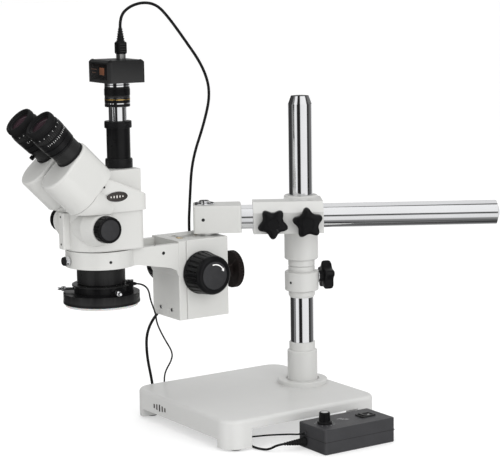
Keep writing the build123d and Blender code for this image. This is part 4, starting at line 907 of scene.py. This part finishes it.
def make_eyepieces():
    """Each eyepiece: grooved barrel, knurled focusing ring with ticks, soft eyecup and coated lens."""
    barrel = [(11, 2), (14.9, 2), (14.9, 17), (18.8, 17), (19.5, 17.5), (19.8, 20.2), (19.0, 20.7),
              (19.0, 21.6), (19.95, 22.1), (20.3, 28.6), (19.6, 29), (19.6, 29.7), (20.4, 30.1),
              (20.95, 39.3), (20.5, 40), (17, 40), (17, 51.8), (11, 51.8)]
    ring = [(17.06, 40.3), (20.4, 40.3), (21, 40.8), (21, 41.5), (21, 41.8), (21, 45.4), (21, 45.7),
            (20.6, 46.1), (20.6, 49.2), (20.2, 49.7), (17.06, 49.7)]
    cup = [(17.1, 50), (19.2, 50), (19.4, 50.4), (18.6, 51.6), (18.6, 52.8), (20.0, 53.6), (20.3, 55),
           (19.9, 58.6), (19.2, 60.3), (18.2, 61), (17.0, 60.9), (16.2, 60.2), (15.4, 58.4),
           (15.0, 56.4), (13, 55), (13, 52), (17.1, 52)]
    seat = [(13.1, 55.5), (15.1, 56.2), (15.3, 57.6), (14.4, 57.7), (13.9, 57.1), (13.1, 56.8)]
    lens = [(0, 57.6), (4, 57.45), (8, 56.95), (11.5, 56.1), (13.6, 55.4), (13.6, 54.6), (0, 54.6)]
    for word in ("right", "left"):
        place = joint_place(f"diopter_{word}_turn", 45)
        eye = f"eye_{word}"
        body = turned(f"eyepiece_barrel_{word}", place, barrel, "black_anodised", eye, steps=96)
        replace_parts(body, f"eyepiece_{word}")
        grip = turned(f"focusing_ring_{word}", place, ring, "black_anodised", f"diopter_{word}",
                      steps=288,
                      wave=flutes(48, 0.5, 0.5, low=41.6, high=45.5), angle=26)
        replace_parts(grip, f"diopter_ring_{word}")
        soft = turned(f"eyecup_soft_{word}", place, cup, "black_rubber", eye, steps=96)
        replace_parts(soft, f"eyecup_{word}")
        turned(f"lens_seat_{word}", place, seat, "black_anodised", eye, steps=72)
        turned(f"eye_lens_{word}", place, lens, "coated_lens", eye, steps=72)
        scale = [(a, 2.6 if a % 24 == 0 else 1.5) for a in range(-48, 73, 8)]
        ticks(f"barrel_scale_{word}", place, 20.75, 36.6, scale, 0.42, eye)
        ticks(f"ring_scale_{word}", place, 20.62, 47.8, [(a, 1.5) for a in range(-60, 181, 20)], 0.42,
              f"diopter_{word}")
        collar = [(18.4, 0.05), (19.3, 0.05), (19.5, 0.4), (19.5, 2.4), (19.2, 2.8), (18.4, 2.8)]
        turned(f"tube_collar_{word}", place, collar, "black_anodised", eye, steps=96)
        stop = [(9.8, 2.2), (10.9, 2.2), (10.9, 3.4), (9.8, 3.4)]
        turned(f"field_stop_{word}", place, stop, "black_anodised", eye, steps=48)
    screw = [(0, -3), (1.5, -3), (1.5, 1), (2.7, 1), (3, 1.4), (3, 1.8), (3, 4.8), (3, 5.1), (2.6, 5.5),
             (0, 5.5)]
    place = joint_place("eyepiece_lock_turn", 0, Vector((1, 0, 0)))
    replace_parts(turned("eyepiece_screw", place, screw, "black_knob", "eyepiece_lock", steps=96,
                       wave=flutes(16, 0.35, 0.5, low=1.6, high=4.9)), "eyepiece_lock_screw")


def make_holder_screw():
    place = joint_place("holder_screw_turn")
    bright = [(0, 38.3), (3, 38.3), (3, 46), (5.5, 46), (6, 46.4), (6, 46.8), (6, 50.6), (6, 51),
              (5.6, 51.3), (0, 51.3)]
    screw = turned("holder_thumb_screw", place, bright, "chrome_bar", "holder_screw", steps=144,
                   wave=flutes(24, 0.35, 0.5, low=46.6, high=50.8), angle=26)
    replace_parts(screw, "holder_screw")
    cap = [(0, 51), (5.0, 51), (5.7, 51.4), (5.7, 53.0), (5.0, 54), (0, 54)]
    turned("holder_thumb_cap", place, cap, "black_knob", "holder_screw", steps=48)


def make_head_details():
    """Badge and small screws."""
    side = head_axis(46.45, 0.2, 323.8)
    turn = place_at(side, (1, 0, 0))
    plate("badge_rim", turn, oval(31, 13.4), 0.55, "bright_ring", "head", 0.2)
    plate("badge", shifted(turn, 0, 0, 0.2), oval(29.8, 12.2), 0.6, "plate_dark", "head",
          0.2)
    for index, (x, wide) in enumerate(((-8.4, 2.4), (-4.2, 3.4), (0, 4.4), (4.2, 3.4), (8.4, 2.4))):
        lens = [(x + 0.5 * px, py * wide / 4.4) for px, py in oval(3.0, 4.2, 20)]
        plate(f"badge_mark_{index}", shifted(turn, 0, 0, 0.78), lens, 0.12, "plate_light", "head",
              0.03)
    spots = [
        ("cover_low", head_axis(0, -55.5, 263), (0, -1, 0)),
        ("cover_high", head_axis(0, -55.5, 298), (0, -1, 0)),
        ("tower_right", head_axis(46.5, -17, 337), (1, 0, 0)),
        ("tower_left", head_axis(-46.5, -17, 337), (-1, 0, 0)),
        ("rear_low", head_axis(0, 42.5, 262), (0, 1, 0)),
        ("rear_high", head_axis(0, 42.5, 297), (0, 1, 0)),
    ]
    for name, at, axis in spots:
        screw_socket(f"socket_{name}", at, axis, 1.3, "head")
    for word, sign in (("right", 1), ("left", -1)):
        hinge = JOINTS[f"eye_spread_{word}"]
        axis = Vector((0, 1, -1)).normalized()
        for index, dx in enumerate((-7, 7)):
            at = Vector(hinge["pos_m"]) + Vector((dx * sign * MM, 0, 0)) + axis * 24.9 * MM
            screw_socket(f"prism_socket_{word}_{index}", at, axis, 1.2, f"eye_{word}")


def make_port_details():
    """Knurled clamp ring and foot of the port, and the adapter's rings."""
    port = place_at(port_axis(0), UP)
    top = [(12, 405.3), (16.9, 405.3), (17.5, 405.9), (17.5, 406.6), (17.5, 407), (17.5, 412.2),
           (17.5, 412.6), (17.3, 413.6), (16.7, 414.2), (12, 414.2)]
    turned("port_clamp_ring", port, top, "black_anodised", "head", steps=288,
           wave=flutes(72, 0.35, 0.5, low=406.8, high=412.4), angle=26)
    foot = [(15, 354.45), (17.4, 354.45), (17.6, 354.8), (17.6, 364.6), (16.4, 366.3), (15, 366.3)]
    turned("port_foot", port, foot, "black_anodised", "head", steps=96)
    screw_socket("port_screw", port_axis(410) + Vector((17.4, 0, 0)) * MM, (1, 0, 0), 1.2, "head")
    sleeve = [(11.7, 432.3), (15.8, 432.3), (16.25, 432.8), (16.25, 436), (15.7, 436.4), (15.7, 437),
              (16.25, 437.4), (16.25, 440.8), (16.25, 442.4), (16.25, 443.9), (11.7, 443.9)]
    turned("adapter_sleeve", port, sleeve, "black_anodised", "camera", steps=96)
    gold = [(15.9, 441.0), (16.42, 441.0), (16.5, 441.2), (16.5, 442.0), (16.42, 442.2), (15.9, 442.2)]
    turned("adapter_line", port, gold, "gold_line", "camera", steps=96)
    grip = [(15, 446.6), (16.2, 446.6), (16.5, 446.9), (16.5, 447.3), (16.5, 454.6), (16.5, 455),
            (16.2, 455.3), (15, 455.3)]
    turned("adapter_grip", port, grip, "black_anodised", "camera", steps=288,
           wave=flutes(72, 0.4, 0.5, low=447.1, high=454.8), angle=26)
    mount = [(10, 457.6), (15.8, 457.6), (16.15, 457.9), (16.15, 459.8), (15.6, 460.1), (15.6, 460.7),
             (16.15, 461), (16.15, 463.1), (15.9, 463.4), (10, 463.4)]
    turned("camera_mount_ring", port, mount, "chrome_bar", "camera", steps=96)


def make_camera_details():
    """Glossy label panel on the front and screws of the camera's case."""
    low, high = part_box("camera_body")
    turn = Matrix.Rotation(math.radians(-4), 4, "Z")
    middle = port_axis((low.z + high.z) / 2 / MM)

    def on_camera(dx, dy, dz, axis, top=UP):
        at = middle + turn @ (Vector((dx, dy, dz)) * MM)
        return place_at(at, turn @ Vector(axis), top)

    front = on_camera(0, -25.5, 0, (0, -1, 0))
    plate("camera_panel", front, bar(55, 19.6), 0.4, "panel_black", "camera", 0.25)
    raised = shifted(front, 0, 0, 0.38)
    plate("camera_label", raised, bar(14, 9.2, 12, 0.5), 0.15, "mark_orange", "camera",
          0.04)
    for index, wide in enumerate((16, 12)):
        plate(f"camera_line_{index}", raised, bar(wide, 1, -12, 2.6 - 4.2 * index), 0.12, "line_brown",
              "camera", 0.03)
    for word, x in (("a", -27), ("b", 27)):
        for side, y in (("front", -20.5), ("rear", 20.5)):
            place = on_camera(x, y, (high.z - low.z) / 2 / MM - 0.5, (0, 0, 1))
            cap_screw(f"camera_screw_{side}_{word}", place.translation, UP, 1.5, "camera",
                      "black_anodised")


def make_usb_plug():
    """Metal shell, moulded grip and a ribbed boot where the lead leaves it."""
    low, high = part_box("usb_plug")
    x, y = (low.x + high.x) / 2 / MM, (low.y + high.y) / 2 / MM
    camera_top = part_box("camera_body")[1].z / MM

    def at(z):
        return place_at(Vector((x, y, z)) * MM, UP)

    shell = rounded_box("plug_shell", at(camera_top + 2), (10.6, 8.6, 13.6), "zinc", "camera", None, 0.8)
    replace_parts(shell, "usb_plug")
    rounded_box("plug_grip", at(camera_top + 14.3), (14, 12, 15.8), "black_knob", "camera", None, 2.4, 4)
    for index in range(4):
        rounded_box(f"plug_rib_{index}", at(camera_top + 9.4 + 3.2 * index), (14.5, 9.0, 1.2),
                    "black_knob", "camera", None, 0.5)
    top = high.z / MM
    rise = top - camera_top - 22
    profile = [(0, camera_top + 21.4)]
    for index in range(6):
        z = camera_top + 22 + rise * index / 6
        r = 5.4 - 2.9 * index / 6
        profile += [(r, z), (r - 0.1, z + rise / 11), (r - 1.1, z + rise / 10), (r - 1.15, z + rise / 7)]
    profile += [(2.5, top - 0.6), (2.1, top), (0, top)]
    turned("plug_boot", place_at(Vector((x, y, 0)) * MM, UP), profile, "black_rubber", "camera",
           steps=48)


def make_ring_light():
    """Black lip, three thumb screws, a gland screw and the ring of small lamps."""
    axis = head_axis()
    lip = [(31.2, 205.5), (37.3, 205.5), (37.7, 205.8), (37.7, 207.3), (37.4, 207.6), (31.2, 207.6)]
    turned("ring_light_lip", place_at(axis, UP), lip, "black_anodised", "head", steps=120)
    edge = [(46.4, 183.2), (49.0, 183.2), (49.3, 183.6), (49.3, 186.2), (49.0, 186.5), (46.4, 186.5)]
    turned("ring_light_rim", place_at(axis, UP), edge, "black_anodised", "head", steps=144)
    screw = [(0, 30.5), (1.9, 30.5), (1.9, 46), (3.0, 46), (3.4, 46.4), (3.4, 46.8), (3.4, 50.2),
             (3.4, 50.6), (3.0, 51), (2.0, 51.3), (2.0, 55.2), (1.6, 56), (0, 56)]
    for index, angle in enumerate((-123, -3, 117)):
        aim = heading(angle)
        place = place_at(axis + Vector((0, 0, 201 * MM)), aim)
        piece = turned(f"ring_light_screw_{index}", place, screw, "chrome_bar", "head", steps=96,
                       wave=flutes(16, 0.3, 0.5, low=46.6, high=50.4))
        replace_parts(piece, "ring_light_screws")
    gland = heading(GLAND_TURN)
    cap_screw("gland_screw", axis + gland * 36.5 * MM + Vector((0, 0, 210.2 * MM)), UP, 1.8, "head")
    exit_at = axis + gland * 39.6 * MM + Vector((0, 0, 206 * MM))
    boot = [(0, 0), (2.6, 0), (2.6, 1.6), (2.1, 2.0), (2.3, 2.6), (2.3, 3.2), (1.8, 3.6), (1.9, 4.2),
            (1.5, 5.4), (0, 5.4)]
    turned("ring_light_boot", place_at(exit_at, gland), boot, "black_rubber", "head", steps=32)
    work = bmesh.new()
    for radius, count in ((36.0, 34), (42.2, 40)):
        for step in range(count):
            a = 2 * math.pi * (step + 0.5 * (count == 40)) / count
            lamp = bmesh.ops.create_uvsphere(work, u_segments=12, v_segments=6, radius=1.7 * MM)["verts"]
            bmesh.ops.scale(work, vec=(1, 1, 0.35), verts=lamp)
            bmesh.ops.translate(work, vec=(radius * MM * math.cos(a), radius * MM * math.sin(a),
                                           179.75 * MM), verts=lamp)
    finish_mesh("ring_light_lamps", work, Matrix.Translation(axis), "lamp", "head")


# ---------------- stand and dimmer box ----------------
def make_base_details():
    """Plain mark on the base's front, and rubber pads under the feet."""
    low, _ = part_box("base_plate")
    front = place_at(Vector((-48 * MM, low.y - 0.02 * MM, 24 * MM)), (0, -1, 0))
    for index, (x, wide, tall) in enumerate(((-15, 3.2, 5.6), (-8, 3.2, 7.6), (-1, 3.2, 9.6),
                                             (6, 3.2, 7.6), (13, 3.2, 5.6))):
        plate(f"base_mark_{index}", front, bar(wide, tall, x), 0.1, "plate_dark", "stand",
              0.03)
    feet_low, feet_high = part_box("rubber_feet")
    for index, (x, y) in enumerate(((0, 0), (0, 1), (1, 0), (1, 1))):
        at = Vector((feet_low.x + 8 * MM if x == 0 else feet_high.x - 8 * MM,
                     feet_low.y + 8 * MM if y == 0 else feet_high.y - 8 * MM, 0.0011))
        pad = [(0, 0.2), (3.2, 0.2), (3.2, -1.0), (7.6, -1.0), (8.3, -0.4), (8.6, 1.2), (8.6, 1.6),
               (0, 1.6)]
        turned(f"foot_pad_{index}", place_at(at, UP), pad, "black_rubber", "stand", steps=48)


def make_dimmer():
    """Fluted dial with a light cap and a pointer, over a printed scale."""
    pos = Vector(JOINTS["dimmer_turn"]["pos_m"])
    place = place_at(Vector((pos.x, pos.y, pos.z)), UP)
    dial = [(0, -8), (3, -8), (3, 0.35), (9.0, 0.35), (9.5, 0.8), (9.5, 2.4), (8.8, 3.3), (7.7, 3.7),
            (7.5, 4.2), (7.45, 4.6), (6.95, 13.4), (6.9, 13.8), (6.6, 14.8), (5.9, 15.3), (5.2, 15.3),
            (4.9, 15.0), (0, 15.0)]
    knob = turned("dimmer_dial", place, dial, "black_knob", "dimmer", steps=216,
                  wave=flutes(18, 0.7, 0.5, low=4.4, high=13.6), angle=28)
    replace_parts(knob, "dimmer_knob")
    turned("dimmer_cap", place, [(0, 15.25), (4.6, 15.25), (4.85, 15.1), (4.85, 14.9), (0, 14.9)],
           "mark_grey", "dimmer",
           steps=48)
    plate("dimmer_pointer", shifted(place, 0, 0, 3.1), bar(0.7, 3.8, 0, 7.1), 0.35, "mark_white",
          "dimmer", 0.03)
    for index in range(11):
        out = heading(230 - 28 * index)
        mark = place_at(pos + out * 12.4 * MM, UP, out)
        plate(f"dimmer_scale_{index}", mark, bar(0.7, 2), 0.08, "mark_grey", "stand", 0.02)


def make_switch():
    """Rocker with a bevelled bezel, and its position mark."""
    low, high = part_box("rocker_switch")
    mid = (low + high) / 2
    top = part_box("control_box_lid")[1].z
    work = bmesh.new()
    outline = [(-8.0, -2.6), (8.0, -2.6), (8.0, 1.0), (4.0, 0.9), (0, 1.5), (-4.0, 2.5), (-8.0, 3.5)]
    for x in (-5.3, 5.3):
        work.faces.new([work.verts.new((x * MM, u * MM, v * MM)) for u, v in outline])
    work.verts.ensure_lookup_table()
    count = len(outline)
    for step in range(count):
        after = (step + 1) % count
        work.faces.new((work.verts[step], work.verts[after], work.verts[count + after],
                        work.verts[count + step]))
    bmesh.ops.recalc_face_normals(work, faces=work.faces)
    bmesh.ops.bevel(work, geom=work.edges[:], offset=0.35 * MM, segments=2, affect="EDGES")
    seat = Matrix.Translation((mid.x, mid.y, top - 1.2 * MM))
    rocker = finish_mesh("rocker", work, seat, "black_knob", "rocker")
    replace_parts(rocker, "rocker_switch")
    plate("rocker_mark", Matrix.Translation((mid.x, mid.y + 5 * MM, top - 0.35 * MM)), bar(0.8, 3.2),
          0.18, "mark_white", "rocker", 0.02)
    for word, side in (("a", -1), ("b", 1)):
        rounded_box(f"bezel_end_{word}", Matrix.Translation((mid.x, mid.y + side * 9.9 * MM,
                                                             top - 0.1 * MM)), (15.6, 2.0, 1.8),
                    "black_knob", "stand", None, 0.5)
        rounded_box(f"bezel_side_{word}", Matrix.Translation((mid.x + side * 6.8 * MM, mid.y,
                                                              top - 0.1 * MM)), (2.0, 21.6, 1.8),
                    "black_knob", "stand", None, 0.5)


def make_box_details():
    """Recessed seam, printed lines, case screws and the leads' boots."""
    low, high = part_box("control_box_base")
    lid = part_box("control_box_lid")
    mid = (low + high) / 2
    seam = Matrix.Translation((mid.x, mid.y, high.z))
    rounded_box("box_seam", seam, ((high.x - low.x) / MM + 0.12, (high.y - low.y) / MM + 0.12, 0.7),
                "painted_socket_shade_and_seam_black", "stand",
                "box_grey", 0.2)
    face = lid[1].z - 1.2 * MM
    for index, (dy, wide) in enumerate(((-12, 9), (-6, 6), (0, 9), (6, 6))):
        place = Matrix.Translation((mid.x + (3 * index - 8) * MM, mid.y + (dy / 3 - 2) * MM, face))
        plate(f"box_line_{index}", place, bar(0.9, wide), 0.06, "mark_grey", "stand", 0.02)
    for index, (x, y) in enumerate(((-1, -1), (-1, 1), (1, -1), (1, 1))):
        at = Vector((mid.x + x * 24 * MM, mid.y + y * 50 * MM, low.z + 0.3 * MM))
        screw_socket(f"box_screw_{index}", at, (0, 0, -1), 1.8, "stand")
    root = Vector((low.x + 14.4 * MM, low.y, 9 * MM))
    end = Vector((low.x + 9.4 * MM, low.y - 28.5 * MM, 9 * MM))
    aim = (end - root).normalized()
    long = (end - root).length / MM
    profile = [(0, 0.2), (6.0, 0.2), (6.2, 0.8), (6.2, 2.6), (5.8, 3.2)]
    for index in range(7):
        z = 3.4 + (long - 5) * index / 7
        r = 4.9 - 2.7 * index / 7
        profile += [(r, z), (r - 0.15, z + 1.7), (r - 1.1, z + 1.9), (r - 1.1, z + 2.9)]
    profile += [(2.2, long - 0.8), (1.9, long), (0, long)]
    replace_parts(turned("power_boot", place_at(root, aim), profile, "black_rubber", "stand", steps=48),
                "cable_boot")
    gland = [(0, 0), (2.6, 0), (2.6, 2.2), (2.1, 2.7), (2.2, 3.2), (1.7, 3.6), (1.3, 4.4), (0, 4.4)]
    turned("lead_gland", place_at(Vector((low.x + 16.4 * MM, low.y, 20 * MM)), (0, -1, 0)), gland,
           "black_rubber", "stand", steps=32)


def make_far_plugs():
    """USB plug and mains adapter at the leads' far ends."""
    low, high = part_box("usb_a_plug")
    mid = (low + high) / 2
    y = low.y / MM
    grip = box_at("usb_far_grip", (mid.x / MM, y + 25, 4.6), (15, 28, 8.8), "black_knob", None, 1.8, 4)
    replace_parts(grip, "usb_a_plug")
    box_at("usb_far_shell", (mid.x / MM, y + 44.6, 4.6), (12, 14.6, 4.6), "zinc", None, 0.5)
    boot = [(0, -0.2), (2.4, -0.2), (2.6, 2), (2.3, 2.6), (2.7, 3.2), (2.9, 5.4), (2.6, 6), (3.0, 6.6),
            (3.2, 8.8), (2.9, 9.4), (3.4, 10), (3.7, 13), (0, 13)]
    turned("usb_far_boot", place_at(Vector((mid.x, y * MM, 5 * MM)), (0, 1, 0)), boot, "black_rubber",
           "stand", steps=32)
    low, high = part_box("power_adapter")
    y = low.y / MM
    x = high.x / MM - 15
    body = box_at("adapter_case", (x, y + 38, 13.2), (30, 46, 26), "black_knob", None, 2.6, 4)
    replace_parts(body, "power_adapter")
    box_at("adapter_seam", (x, y + 38, 13.2), (30.1, 0.7, 26.1), "painted_socket_shade_and_seam_black", "black_knob", 0.2)
    for word, dx in (("a", -6.35), ("b", 6.35)):
        box_at(f"adapter_blade_{word}", (x + dx, y + 68.4, 13), (1.6, 17, 6.4), "bright_ring", "zinc",
               0.4)
    boot = [(0, -0.2), (2.0, -0.2), (2.3, 3), (1.9, 3.6), (2.6, 4.4), (3.0, 7.4), (2.6, 8), (3.3, 8.8),
            (3.8, 12), (3.3, 12.6), (4.2, 13.4), (4.3, 16.4), (0, 16.4)]
    turned("adapter_boot", place_at(Vector(((x + 4) * MM, y * MM, 5 * MM)), (0, 1, 0)), boot,
           "black_rubber", "stand", steps=32)


# ---------------- everything ----------------
CAD_FINISH = {"camera_body": "camera_black", "photo_tube": "chrome_bar"}

MATERIALS = make_materials()
make_camera()
make_studio()
make_cords()
dress_cad()
for node in LOBE_TOPS:
    make_star_knob(node)
make_focus_knobs()
make_lock_knob()
make_focus_screws()
make_swivel_top()
make_zoom_knobs()
make_eyepieces()
make_holder_screw()
make_head_details()
make_port_details()
make_camera_details()
make_usb_plug()
make_ring_light()
make_base_details()
make_dimmer()
make_switch()
make_box_details()
make_far_plugs()
